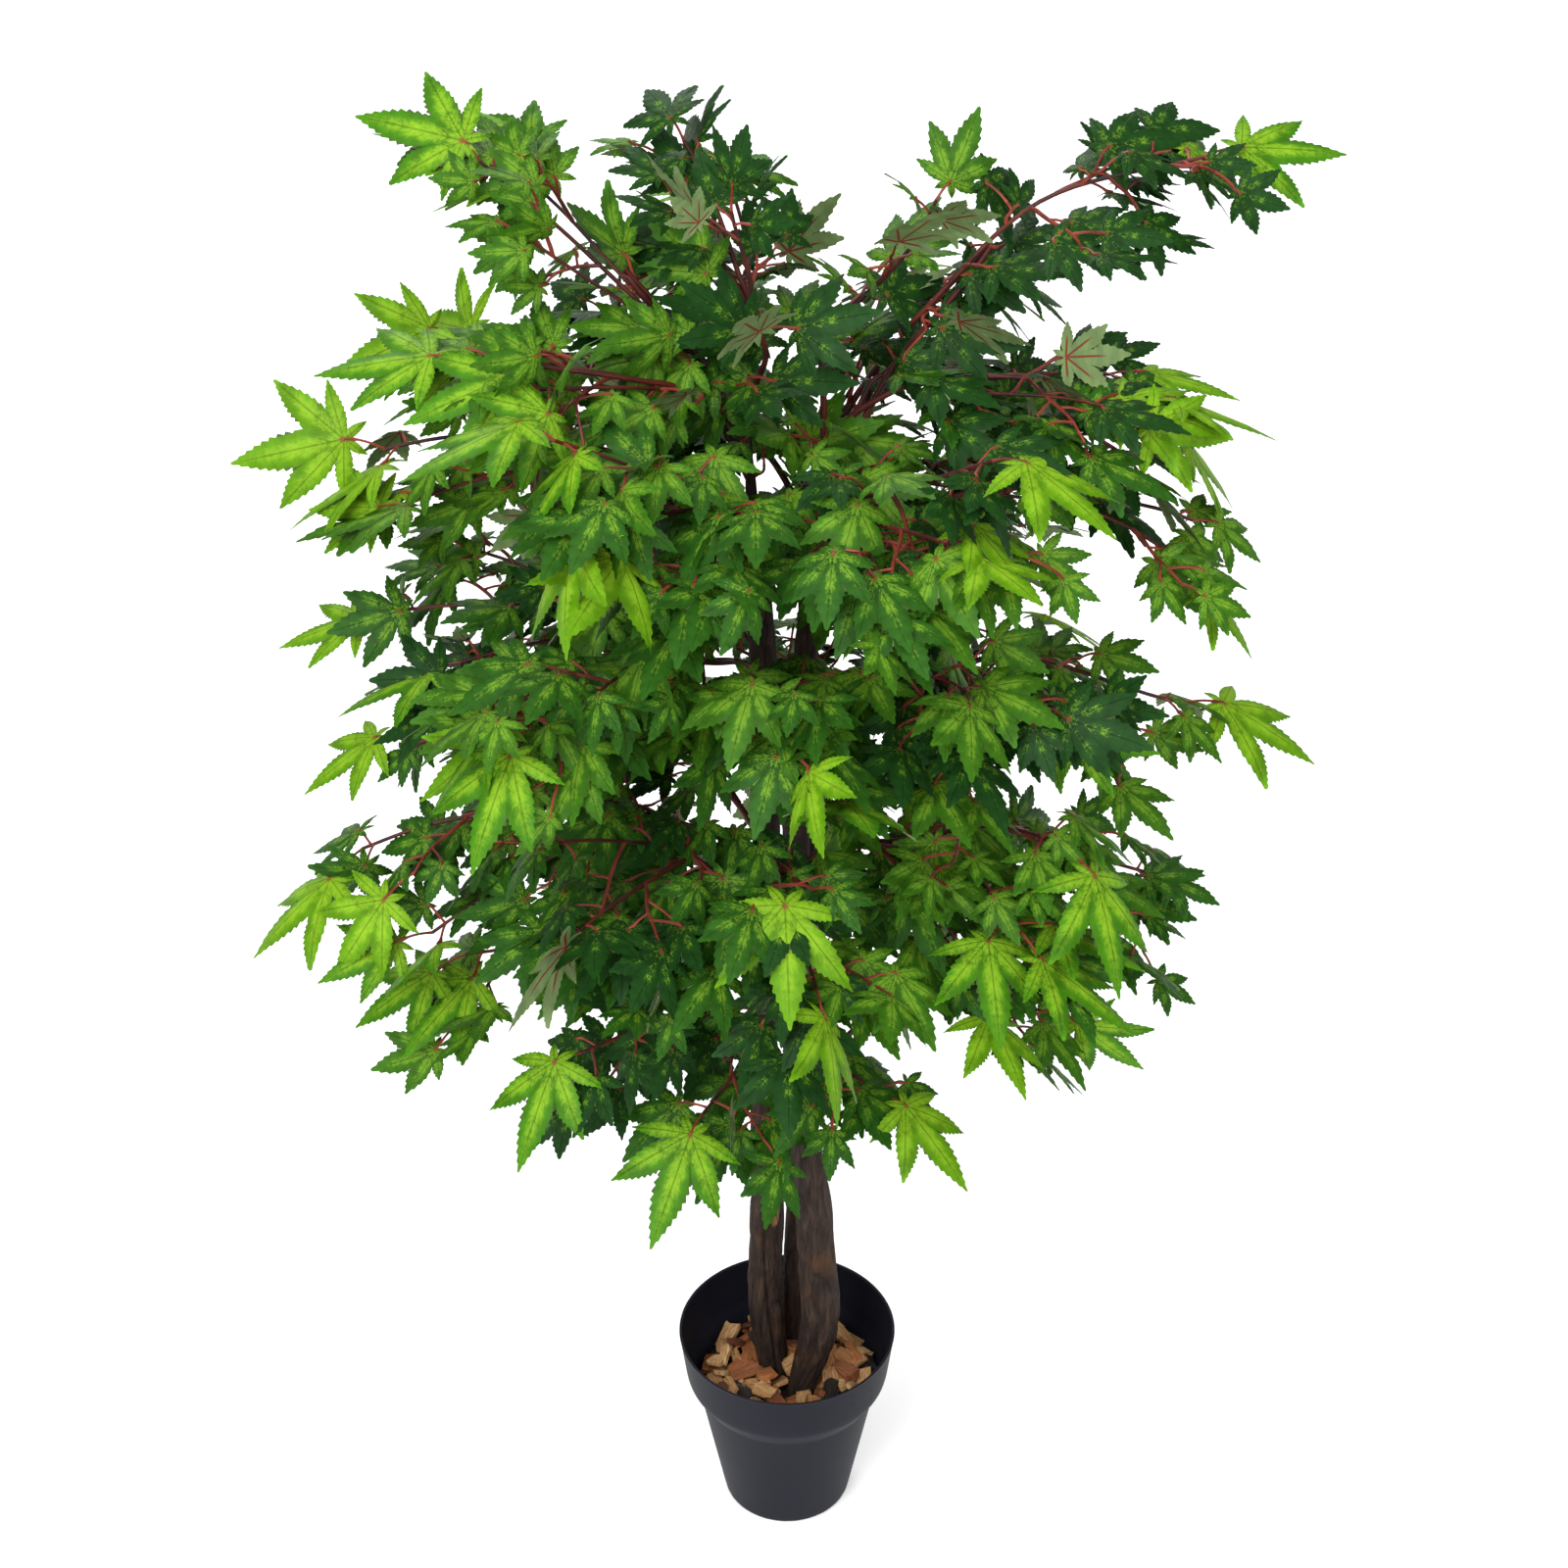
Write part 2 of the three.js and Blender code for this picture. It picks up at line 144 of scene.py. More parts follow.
class MapleStageSettings(bpy.types.PropertyGroup):
    """The camera and the floor."""

    camera: FloatVectorProperty(
        name="Camera", description="Where the camera stands", default=(0.0, -1.86, 1.93),
        subtype="TRANSLATION", unit="LENGTH")
    pitch: FloatProperty(
        name="Pitch", description="How far the camera looks down", default=math.radians(33.8),
        subtype="ANGLE", unit="ROTATION")
    lens: FloatProperty(name="Lens", description="Focal length on a 36 mm sensor", default=73.28)
    floor: colour("Floor", "Colour of the floor", 0.90, 0.90, 0.90)


# ---------------------------------------------------------------- lines and skins


def unit(vectors):
    """Each vector divided by its own length."""
    return vectors / np.maximum(np.linalg.norm(vectors, axis=-1, keepdims=True), 1e-9)


def ease(values, low, high):
    """0 below low, 1 above high, and 3x^2 - 2x^3 of the share between."""
    share = np.clip((values - low) / (high - low), 0.0, 1.0)
    return share * share * (3.0 - 2.0 * share)


def flow(points, count):
    """A smooth line through the points, read at even steps of length: on each span the cubic whose end
    slopes are half the chord between the neighbours."""
    points = np.asarray(points, float)
    ends = np.vstack([2 * points[0] - points[1], points, 2 * points[-1] - points[-2]])
    run = np.concatenate([[0.0], np.cumsum(np.linalg.norm(np.diff(points, axis=0), axis=1))])
    where = np.linspace(0.0, run[-1], count)
    span = np.clip(np.searchsorted(run, where, side="right") - 1, 0, len(points) - 2)
    t = ((where - run[span]) / (run[span + 1] - run[span]))[:, None]
    a, b, c, d = (ends[span + step] for step in range(4))
    return 0.5 * (2 * b + (c - a) * t + (2 * a - 5 * b + 4 * c - d) * t**2 + (3 * b - a - 3 * c + d) * t**3)


def skins(rings, first, last):
    """Closed skins over stacks of rings. rings is (skins, rings, sides, 3), and first and last are the
    points that close the two ends. Gives the points and the faces, four-sided ones and three-sided ones."""
    many, levels, sides, _ = rings.shape
    size = levels * sides + 2
    base = (size * np.arange(many))[:, None, None]
    level = sides * np.arange(levels - 1)[:, None]
    side = np.arange(sides)
    after = (side + 1) % sides
    quads = np.stack([level + side, level + after, level + sides + after, level + sides + side], axis=-1)
    top = sides * (levels - 1)
    foot_fan = np.stack([np.full(sides, size - 2), after, side], axis=-1)
    top_fan = np.stack([np.full(sides, size - 1), top + side, top + after], axis=-1)
    fans = np.concatenate([foot_fan, top_fan])
    points = np.concatenate([rings.reshape(many, -1, 3), first[:, None], last[:, None]], axis=1)
    return points.reshape(-1, 3), [
        (quads.reshape(1, -1, 4) + base).reshape(-1, 4),
        (fans[None] + base).reshape(-1, 3),
    ]


def tubes(lines, radii, sides):
    """Closed round tubes along many lines at once. lines is (tubes, points, 3), radii is (tubes, points).
    At each point of a line a ring of points stands square to it."""
    ahead = unit(np.gradient(lines, axis=1))
    guide = np.eye(3)[np.argmin(np.abs(lines[:, -1] - lines[:, 0]), axis=1)][:, None]
    across = unit(np.cross(guide, ahead))
    over = np.cross(ahead, across)
    angle = 2 * math.pi * np.arange(sides) / sides
    turn = np.cos(angle)[:, None] * across[:, :, None] + np.sin(angle)[:, None] * over[:, :, None]
    return skins(lines[:, :, None] + radii[:, :, None, None] * turn, lines[:, 0], lines[:, -1])


def build(name, points, faces, maps=(), traits=(), crease=60.0):
    """A mesh object from points (n, 3) and a list of face arrays (count, corners). maps holds
    (name, list of (count, corners, 2) arrays), traits holds (name, one value for each point)."""
    mesh = bpy.data.meshes.new(name)
    corners = np.concatenate([face.ravel() for face in faces]).astype(np.int32)
    sizes = np.concatenate([np.full(len(face), face.shape[1]) for face in faces])
    starts = np.concatenate([[0], np.cumsum(sizes)[:-1]]).astype(np.int32)
    mesh.vertices.add(len(points))
    mesh.vertices.foreach_set("co", np.asarray(points, np.float32).ravel())
    mesh.loops.add(len(corners))
    mesh.loops.foreach_set("vertex_index", corners)
    mesh.polygons.add(len(sizes))
    mesh.polygons.foreach_set("loop_start", starts)
    mesh.polygons.foreach_set("use_smooth", np.ones(len(sizes), bool))
    mesh.update(calc_edges=True)
    for label, values in maps:
        layer = mesh.uv_layers.new(name=label)
        flat = np.concatenate([value.reshape(-1) for value in values]).astype(np.float32)
        layer.uv.foreach_set("vector", flat)
    for label, values in traits:
        layer = mesh.attributes.new(label, "FLOAT", "POINT")
        layer.data.foreach_set("value", np.asarray(values, np.float32))
    if mesh.validate():
        raise RuntimeError(f"{name} has faces that are not sound")
    mesh.set_sharp_from_angle(angle=math.radians(crease))
    made = bpy.data.objects.new(name, mesh)
    bpy.context.scene.collection.objects.link(made)
    return made


def settle(piece, finish, slot, nodes=()):
    """Gives a piece its finish and its body, and hides the frame nodes that it stands for. The slot argument
    is not used.
    """
    piece.data.materials.append(finish)
    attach(piece, "root")
    if nodes:
        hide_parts(*nodes)


# ---------------------------------------------------------------- finishes


class Value:
    """One socket of a material, with Python's operators joined to Math nodes."""

    def __init__(self, paint, socket):
        self.paint = paint
        self.socket = socket

    def math(self, operation, *others):
        """A Math node on the value and what follows it."""
        return self.paint.add("ShaderNodeMath", {"operation": operation}, [self, *others])

    def __add__(self, other):
        return self.math("ADD", other)

    def __sub__(self, other):
        return self.math("SUBTRACT", other)

    def __rsub__(self, other):
        return self.paint.add("ShaderNodeMath", {"operation": "SUBTRACT"}, [other, self])

    def __mul__(self, other):
        return self.math("MULTIPLY", other)

    __radd__ = __add__
    __rmul__ = __mul__

    def wave(self):
        """The sine of the value, from 0 to 1."""
        return self.math("SINE") * 0.5 + 0.5

    def rise(self, low, high):
        """0 below low and 1 above high, eased between; falls instead where low is above high."""
        settings = {"interpolation_type": "SMOOTHSTEP"}
        if low < high:
            return self.paint.add("ShaderNodeMapRange", settings, {0: self, 1: low, 2: high})
        return 1.0 - self.rise(high, low)


class Paint:
    """The nodes of one material."""

    def __init__(self, name):
        self.material = bpy.data.materials.new(name)
        self.material.use_nodes = True
        self.nodes = self.material.node_tree.nodes
        self.links = self.material.node_tree.links
        self.nodes.clear()

    def add(self, kind, settings=None, inputs=None, output=0):
        """One node: its settings first, with a ramp's stops among them, then its sockets' values or links."""
        node = self.nodes.new(kind)
        for key, value in (settings or {}).items():
            if key == "stops":
                ramp = node.color_ramp.elements
                while len(ramp) < len(value):
                    ramp.new(0.5)
                for stop, (place, colour) in zip(ramp, value):
                    stop.position = place
                    stop.color = (*colour, 1.0)
            else:
                setattr(node, key, value)
        pairs = inputs.items() if isinstance(inputs, dict) else enumerate(inputs or [])
        for key, value in pairs:
            if isinstance(value, Value):
                self.links.new(value.socket, node.inputs[key])
            else:
                node.inputs[key].default_value = value
        return Value(self, node.outputs[output]) if node.outputs else None

    def place(self):
        """The object's own coordinates, in metres."""
        return self.add("ShaderNodeTexCoord", output="Object")

    def uv(self, name):
        """A UV map of the piece."""
        return self.add("ShaderNodeUVMap", {"uv_map": name})

    def trait(self, name):
        """A number kept with each point of the piece."""
        return self.add("ShaderNodeAttribute", {"attribute_name": name}, output="Fac")

    def axes(self, vector):
        """The three numbers of a vector."""
        split = self.add("ShaderNodeSeparateXYZ", None, [vector])
        return [Value(self, output) for output in split.socket.node.outputs]

    def vector(self, *parts):
        """A vector of three numbers."""
        return self.add("ShaderNodeCombineXYZ", None, list(parts))

    def stretch(self, vector, scale):
        """The vector with each of its numbers multiplied."""
        return self.add("ShaderNodeVectorMath", {"operation": "MULTIPLY"}, [vector, scale])

    def noise(self, vector, scale, detail=2.0, rough=0.5, bend=0.0):
        """Smooth noise round 0.5, `scale` lumps to the unit."""
        inputs = {"Vector": vector, "Scale": scale, "Detail": detail, "Roughness": rough, "Distortion": bend}
        return self.add("ShaderNodeTexNoise", None, inputs)

    def cells(self, vector, scale):
        """The distance to the middle of the nearest of many scattered cells."""
        return self.add("ShaderNodeTexVoronoi", None, {"Vector": vector, "Scale": scale}, "Distance")

    def mix(self, share, low, high, kind="MIX"):
        """Colour low where share is 0 and colour high where it is 1. Of the Mix node's sockets, 0 is the
        share, 6 and 7 are the two colours, and 2 is the colour that comes out."""
        low, high = ((*c, 1.0) if isinstance(c, tuple) else c for c in (low, high))
        settings = {"data_type": "RGBA", "blend_type": kind}
        return self.add("ShaderNodeMix", settings, {0: share, 6: low, 7: high}, output=2)

    def ramp(self, share, stops):
        """A colour read from (place, colour) stops."""
        return self.add("ShaderNodeValToRGB", {"stops": stops}, [share])

    def bump(self, height, distance, strength=1.0, under=None):
        """A normal from a height whose unit is `distance`, over another normal where one is given."""
        inputs = {"Strength": strength, "Distance": distance, "Height": height}
        if under is not None:
            inputs["Normal"] = under
        return self.add("ShaderNodeBump", None, inputs)

    def spokes(self, u, v):
        """Raised ribs on a leaf's back, one along each of the five main lobes: each is where the distance
        from the line of its lobe is small, and it fades out past the middle of that lobe."""
        east = (u - 0.5 - SHEET_HEART[0]) * (1.0 / SHEET_SCALE[0])
        north = (v - SHEET_HEART[1]) * (1.0 / SHEET_SCALE[1])
        ribs = None
        for turn, length, _ in LOBES[1:-1]:
            sine, cosine = math.sin(math.radians(turn)), math.cos(math.radians(turn))
            along = (east * sine + north * cosine) * (1.0 / length)
            off = (east * cosine - north * sine).math("ABSOLUTE")
            rib = off.rise(0.020, 0.008) * along.rise(0.68, 0.45) * along.rise(-0.02, 0.02)
            ribs = rib if ribs is None else ribs.math("MAXIMUM", rib)
        return ribs

    def finish(self, **sockets):
        """The surface: Base_Color and so on name the sockets of the shader."""
        inputs = {key.replace("_", " "): value for key, value in sockets.items()}
        surface = self.add("ShaderNodeBsdfPrincipled", None, inputs)
        self.add("ShaderNodeOutputMaterial", None, [surface])
        return self.material


def tint(colour, factor):
    """A colour made lighter or darker."""
    return tuple(min(1.0, channel * factor) for channel in colour)


def leaf_finish(name, ground, fleck, colours, rib_shade, flecks):
    """Printed leaf fabric. Side veins slant forward: their phase is (along - across). Flecks are noise drawn
    out along those veins and kept near the midrib; a large leaf is lighter towards its heart. The back is
    plain and pale with moulded red ribs to half of each lobe."""
    paint = Paint(name)
    sheet = paint.uv(BAKED_UV)
    along, across, _ = paint.axes(paint.uv(VEIN_UV))
    u, v, _ = paint.axes(sheet)
    back = u.rise(0.499, 0.501)
    slant = along * 34.0 - across * 42.0
    veins = slant.wave()
    streaks = paint.noise(
        paint.vector(slant * 0.95, across * 22.0 + along * 9.0, u * 26.0 + v * 17.0), 1.0, 3.0, 0.68)
    broad = paint.noise(sheet, 9.0, 2.0)
    near = across.rise(0.20, 0.0) * (along.rise(1.05, 0.35) * 0.45 + 0.55)
    feather = (streaks * 1.15 + veins * 0.12 + broad * 0.55) * near
    flecked = feather.rise(*flecks)
    body = paint.mix(broad.rise(0.35, 0.65), tint(ground, 0.80), tint(ground, 1.20))
    body = paint.mix(across.rise(0.05, 0.15) * 0.4, body, tint(ground, 0.60))
    printed = paint.mix(flecked * 0.85, body, fleck)
    midrib = across.rise(0.010, 0.002) * along.rise(0.97, 0.80)
    printed = paint.mix(midrib * 0.45, printed, rib_shade)
    heart = along.rise(0.06, 0.025)
    printed = paint.mix(heart * 0.7, printed, tint(colours.twig, 1.1))
    pale = paint.mix(broad.rise(0.3, 0.7), tint(colours.underside, 0.85), tint(colours.underside, 1.15))
    spokes = paint.spokes(u, v)
    pale = paint.mix(spokes, pale, tint(colours.twig, 0.9))
    relief = (veins * 0.5 + streaks * 0.35 - midrib * 1.2) * (1.0 - back) + spokes * 2.5 * back
    return paint.finish(
        Base_Color=paint.mix(back, printed, pale),
        Roughness=0.42 + back * 0.2 + streaks * 0.12,
        Specular_IOR_Level=0.10,
        Normal=paint.bump(relief, 0.5 * MM, 0.6),
    )


def twig_finish(name, colour, shift):
    """Moulded plastic over wire: the colour drifts along the spray, with small pale nicks."""
    paint = Paint(name)
    place = paint.place()
    drift = paint.noise(place, 34.0, 2.0)
    nicks = paint.noise(place, 420.0, 2.0)
    body = paint.mix(drift.rise(0.34, 0.66), tint(colour, 0.6), tint(shift, 1.15))
    return paint.finish(
        Base_Color=paint.mix(nicks.rise(0.62, 0.72) * 0.3, body, tint(shift, 2.1)),
        Roughness=0.36 + nicks * 0.2,
        Specular_IOR_Level=0.25,
        Normal=paint.bump(nicks + drift, 0.5 * MM, 0.5),
    )


def bark_finish(name, colours):
    """Dry bark: furrows are noise drawn out along the stem; where the bare trait is high, worn wood; painted
    shade darkens the colour in the stem's sunken furrows, cracks and crease.
    """
    paint = Paint(name)
    place = paint.place()
    bare = paint.trait("bare")
    hollow = paint.trait("hollow")
    drawn = paint.stretch(place, (1.0, 1.0, 0.16))
    strips = paint.noise(drawn, 230.0, 5.0, 0.62, 0.5)
    fine = paint.noise(paint.stretch(place, (1.0, 1.0, 0.3)), 900.0, 3.0, 0.6)
    patches = paint.noise(place, 22.0, 3.0, 0.55)
    body = paint.ramp(strips, [
        (0.30, tint(colours.bark, 0.35)), (0.48, tint(colours.bark, 0.9)),
        (0.60, tint(colours.bark, 1.5)), (0.74, tint(colours.bark, 2.6))])
    body = paint.mix(patches.rise(0.52, 0.68) * 0.5, body, tint(colours.wood, 0.34))
    # Painted shade: the colour is darkened where the skin sinks into furrows, cracks and the crease.
    body = paint.mix(hollow * 0.85, body, tint(colours.bark, 0.2))
    rings = (paint.axes(drawn)[2] * 160.0 + patches * 9.0).wave()
    grain = paint.noise(paint.stretch(place, (1.0, 1.0, 0.06)), 520.0, 3.0)
    worn = paint.mix(grain.rise(0.36, 0.66), tint(colours.wood, 0.55), tint(colours.wood, 1.25))
    worn = paint.mix(rings * 0.25, worn, tint(colours.wood, 0.4))
    coarse = paint.bump(strips, 1.6 * MM, 0.8)
    return paint.finish(
        Base_Color=paint.mix(bare, body, worn),
        Roughness=0.86 - bare * 0.12 - strips * 0.1,
        Specular_IOR_Level=0.2,
        Normal=paint.bump(fine, 0.5 * MM, 0.5, coarse),
    )


def chip_finish(name, colours):
    """Split wood: each chip has its own tone, and its grain runs along its length."""
    paint = Paint(name)
    tone = paint.trait("tone")
    run, wide, _ = paint.axes(paint.uv("grain"))
    fibre = paint.noise(paint.vector(run * 0.14, wide, tone * 3.0), 900.0, 3.0, 0.6)
    soil = paint.noise(paint.place(), 60.0, 3.0)
    body = paint.ramp(tone, [
        (0.0, tint(colours.chip, 0.03)), (0.12, tint(colours.chip, 0.06)),
        (0.17, (0.17, 0.052, 0.016)), (0.40, (0.36, 0.135, 0.034)), (0.55, colours.chip),
        (0.80, (0.46, 0.285, 0.12)), (1.0, (0.58, 0.40, 0.19))])
    body = paint.mix(fibre.rise(0.35, 0.70), body, tint(colours.chip, 1.5), "MULTIPLY")
    body = paint.mix(fibre.rise(0.55, 0.80) * 0.35, body, (0.50, 0.30, 0.15))
    body = paint.mix(soil.rise(0.58, 0.80) * 0.35, body, tint(colours.bark, 0.8))
    return paint.finish(
        Base_Color=body,
        Roughness=0.72 + fibre * 0.16,
        Normal=paint.bump(fibre, 0.9 * MM, 0.9),
    )


def gap_shade_finish(name, colours):
    """Painted shade: a near-black colour with a crumbly bump, for the shadowed gaps between the chips."""
    paint = Paint(name)
    crumbs = paint.cells(paint.place(), 300.0)
    shade = paint.noise(paint.place(), 90.0, 4.0)
    # Painted shade: colours near black, as the shadowed gaps between the chips.
    return paint.finish(
        Base_Color=paint.mix(shade.rise(0.3, 0.7), tint(colours.bark, 0.3), tint(colours.wood, 0.10)),
        Roughness=0.92,
        Normal=paint.bump(crumbs + shade, 2.0 * MM, 0.9),
    )


def pot_finish(name, colours):
    """Moulded polypropylene: satin, with a fine even grain, faint flow rings and a few dull scuffs."""
    paint = Paint(name)
    place = paint.place()
    height = paint.axes(place)[2]
    grain = paint.noise(place, 1500.0, 2.0)
    cloud = paint.noise(place, 16.0, 3.0)
    rings = (height * 2600.0).wave()
    scuffs = paint.noise(paint.stretch(place, (1.0, 1.0, 0.25)), 120.0, 4.0, 0.65, 1.2).rise(0.66, 0.74)
    body = paint.mix(cloud.rise(0.3, 0.7), tint(colours.pot, 0.88), tint(colours.pot, 1.14))
    return paint.finish(
        Base_Color=paint.mix(scuffs * 0.22, body, tint(colours.pot, 3.0)),
        Roughness=0.46 + grain * 0.10 + cloud * 0.08 + scuffs * 0.16,
        Specular_IOR_Level=0.12,
        Normal=paint.bump(grain * 0.7 + rings * 0.1, 0.12 * MM, 0.35),
    )


def plaster_finish(name):
    """Cast fill: pale grey with pores."""
    paint = Paint(name)
    pores = paint.cells(paint.place(), 420.0)
    cloud = paint.noise(paint.place(), 30.0, 3.0)
    return paint.finish(
        Base_Color=paint.mix(cloud, (0.34, 0.32, 0.29), (0.52, 0.50, 0.46)),
        Roughness=0.82 + cloud * 0.1,
        Normal=paint.bump(pores.rise(0.0, 0.35), 0.8 * MM, 0.6),
    )


# ---------------------------------------------------------------- the leaf

# Each lobe: its turn from the middle lobe in degrees, its length and its half width, where the middle
# lobe is 1 long. Each gap: how far the cut after that lobe stands from the leaf's heart.
LOBES = ((-142, 0.22, 0.030), (-84, 0.52, 0.058), (-41, 0.80, 0.082), (0, 1.0, 0.092),
         (41, 0.80, 0.082), (84, 0.52, 0.058), (142, 0.22, 0.030))
GAPS = (0.085, 0.155, 0.37, 0.37, 0.155, 0.085, 0.03)
CUTS = 6  # variants of each kind of leaf

# Size and heart's place of the flat leaf on its half of the baked map.
SHEET_SCALE = (0.235, 0.66)
SHEET_HEART = (0.25, 0.295)


class LeafCut:
    """The outline, faces and maps of one kind of leaf, whose lobes are `breadth` times as wide as listed.
    On both sides of the leaf each half lobe is a fan of teeth round `steps` points of its midrib, with
    `teeth` edge points for each; the two sides share their edge."""

    def __init__(self, steps, teeth, breadth):
        self.breadth = breadth
        self.steps = steps
        self.teeth = teeth
        self.edge = steps * teeth
        lobes = len(LOBES)
        self.first_rib = 2
        self.first_tip = self.first_rib + lobes * (steps - 1)
        self.first_gap = self.first_tip + lobes
        self.first_edge = self.first_gap + lobes
        self.first_low = self.first_edge + 2 * lobes * (self.edge - 1)
        self.count = self.first_low + lobes * (steps - 1)
        self.faces = []
        self.veins = []
        self.cut(lobes, 0, self.first_rib, 0)
        self.backs = len(self.faces)
        self.cut(lobes, 1, self.first_low, 1)

    def rim(self, lobes):
        """The numbers of the edge points of each half lobe, from its cut to its tip."""
        lobe = np.arange(lobes)
        gaps = np.stack([(lobe - 1) % lobes, lobe], axis=1)
        halves = np.arange(2 * lobes).reshape(lobes, 2, 1)
        tips = np.broadcast_to((self.first_tip + lobe)[:, None, None], (lobes, 2, 1))
        inner = self.first_edge + halves * (self.edge - 1) + np.arange(self.edge - 1)
        return np.concatenate([(self.first_gap + gaps)[..., None], inner, tips], axis=2)

    def keep(self, corners, along, across, flip):
        """Stores faces that share a shape, with their place on the vein map. A face that is turned over
        keeps its first corner, so that its folds still run from that corner."""
        order = np.arange(corners.shape[1])
        if flip:
            order = np.append(0, order[:0:-1])
        self.faces.append(corners[:, order])
        self.veins.append(np.stack([along, across], axis=-1)[:, order])

    def cut(self, lobes, heart, first_rib, side):
        """One side of the leaf: in each half lobe a four-sided face for every tooth, from a midrib point to
        the tooth, and a three-sided one between two midrib points."""
        lobe = np.arange(lobes)
        rim = self.rim(lobes)
        start, spread = self.edge_shares()
        ribs = first_rib + lobe[:, None] * (self.steps - 1) + np.arange(self.steps - 1)
        spine = np.concatenate([np.full((lobes, 1), heart), ribs, (self.first_tip + lobe)[:, None]], axis=1)
        zero = np.zeros((lobes, 1))
        for half in (0, 1):
            for step in range(self.steps):
                level = np.full((lobes, 1), step / self.steps)
                for tooth in range(0, self.teeth, 2):
                    part = slice(step * self.teeth + tooth, step * self.teeth + tooth + 3)
                    self.keep(
                        np.concatenate([spine[:, step:step + 1], rim[:, half, part]], axis=1),
                        np.concatenate([level, start[:, half, part]], axis=1),
                        np.concatenate([zero, spread[:, half, part]], axis=1), half == side)
                if step < self.steps - 1:
                    last = (step + 1) * self.teeth
                    self.keep(
                        np.stack([spine[:, step], rim[:, half, last], spine[:, step + 1]], axis=1),
                        np.hstack([level, start[:, half, last:last + 1], level + 1 / self.steps]),
                        np.hstack([zero, spread[:, half, last:last + 1], zero]), half == side)

    def edge_shares(self):
        """For each half lobe, how far along its lobe each edge point stands, from 0 to 1, and how far out
        from the midrib. The half width is the cut's own, fading as (1 - q)^2, plus the lobe's swell
        q^0.8 (1 - q)^1.1; every second point is a tooth that leans forward."""
        turn, length, width = (np.array(column, float) for column in zip(*LOBES))
        turn = np.radians(turn)
        middle = (turn + np.roll(turn, -1)) / 2
        middle[-1] = math.pi
        gap = np.array(GAPS)[:, None] * np.stack([np.sin(middle), np.cos(middle)], axis=1)
        pair = np.stack([np.roll(gap, 1, axis=0), gap], axis=1)
        along = np.stack([np.sin(turn), np.cos(turn)], axis=1)
        across = np.stack([np.cos(turn), -np.sin(turn)], axis=1)
        first = np.einsum("lhx,lx->lh", pair, along)[..., None] / length[:, None, None]
        opening = np.abs(np.einsum("lhx,lx->lh", pair, across))[..., None]
        q = np.arange(self.edge + 1) / self.edge
        swell = q**0.8 * (1 - q) ** 1.1 / 0.2743
        tooth = np.where(np.arange(self.edge + 1) % 2 == 1, 1.08, 0.92)
        tooth[0] = 1.0
        spread = (opening * (1 - q) ** 2 + self.breadth * width[:, None, None] * swell) * tooth
        lean = np.where(np.arange(self.edge + 1) % 2 == 1, 0.55, 0.0) / self.edge
        return first + (1 - first) * np.minimum(q + lean, 1.0), spread

    def points(self, rng=None):
        """The leaf's points, its middle lobe along Y and its face up, flat unless there is a random source.
        Each half lobe falls like a roof with the way out from its midrib, tilts down along it, and bends
        further down past each fold, a straight line from a midrib point to the edge; so every piece between
        folds is flat and its edge lies in it."""
        turn, length, _ = (np.array(column, float) for column in zip(*LOBES))
        start, spread = self.edge_shares()
        many = len(LOBES)
        bend, roof, lift = np.zeros(many), 0.0, 0.0
        if rng is not None:
            turn = turn + rng.normal(0.0, 3.5, many)
            length = length * rng.normal(1.0, 0.045, many)
            bend = rng.uniform(0.08, 0.32) + rng.normal(0.0, 0.04, many)
            bend = bend + 0.2 * np.abs(np.sin(np.radians(turn) / 2))
            roof = rng.uniform(0.10, 0.24)
            lift = 0.015
        turn = np.radians(turn)
        along = np.stack([np.sin(turn), np.cos(turn)], axis=1)
        across = np.stack([np.cos(turn), -np.sin(turn)], axis=1)
        reach = start * length[:, None, None]

        def height(way, out):
            """How high a point lies, at its way along the lobe and its way out from the midrib."""
            fall = -roof * out - 0.45 * bend[:, None, None] * way
            for step in range(1, self.steps):
                foot = (length * step / self.steps)[:, None, None]
                place = slice(step * self.teeth, step * self.teeth + 1)
                run, rise = reach[..., place] - foot, spread[..., place]
                past = ((way - foot) * rise - out * run) / np.hypot(run, rise)
                fall = fall - (1.1 / (self.steps - 1)) * bend[:, None, None] * np.maximum(past, 0.0)
            return fall

        share = np.arange(1, self.steps + 1) / self.steps
        way = np.broadcast_to((share * length[:, None])[:, None], (many, 2, self.steps))
        ridge = height(way, np.zeros_like(way)).mean(axis=1)
        spine = np.dstack([way[:, 0, :, None] * along[:, None], ridge])
        rib = spine[:, :-1] + (0.0, 0.0, lift)
        low = spine[:, :-1] - (0.0, 0.0, 0.2 * lift)
        side = np.array([-1.0, 1.0])[None, :, None]
        flat = reach[..., None] * along[:, None, None] + (side * spread)[..., None] * across[:, None, None]
        rim = np.concatenate([flat, height(reach, spread)[..., None]], axis=-1)
        gap = (rim[:, 1, 0] + np.roll(rim[:, 0, 0], -1, axis=0)) / 2
        heart = np.array([[0.0, 0.0, lift], [0.0, 0.0, -lift]])
        return np.concatenate([
            heart, rib.reshape(-1, 3), spine[:, -1], gap, rim[:, :, 1:-1].reshape(-1, 3), low.reshape(-1, 3)])

    def sheets(self):
        """The baked map of each face: the flat leaf on the left half, its back on the right."""
        flat = self.points()[:, :2] * SHEET_SCALE + SHEET_HEART
        return [flat[face] + (0.5 if number >= self.backs else 0.0, 0.0)
                for number, face in enumerate(self.faces)]


# ---------------------------------------------------------------- growth


def node_points(name):
    """The points of a frame node, each once."""
    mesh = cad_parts[name].data
    flat = np.empty(3 * len(mesh.vertices), np.float32)
    mesh.vertices.foreach_get("co", flat)
    return np.unique(np.round(flat.reshape(-1, 3).astype(float), 5), axis=0)


def node_tree(name):
    """A search tree of a frame node's faces, for rays."""
    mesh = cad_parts[name].data
    return BVHTree.FromPolygons([v.co for v in mesh.vertices], [tuple(p.vertices) for p in mesh.polygons])


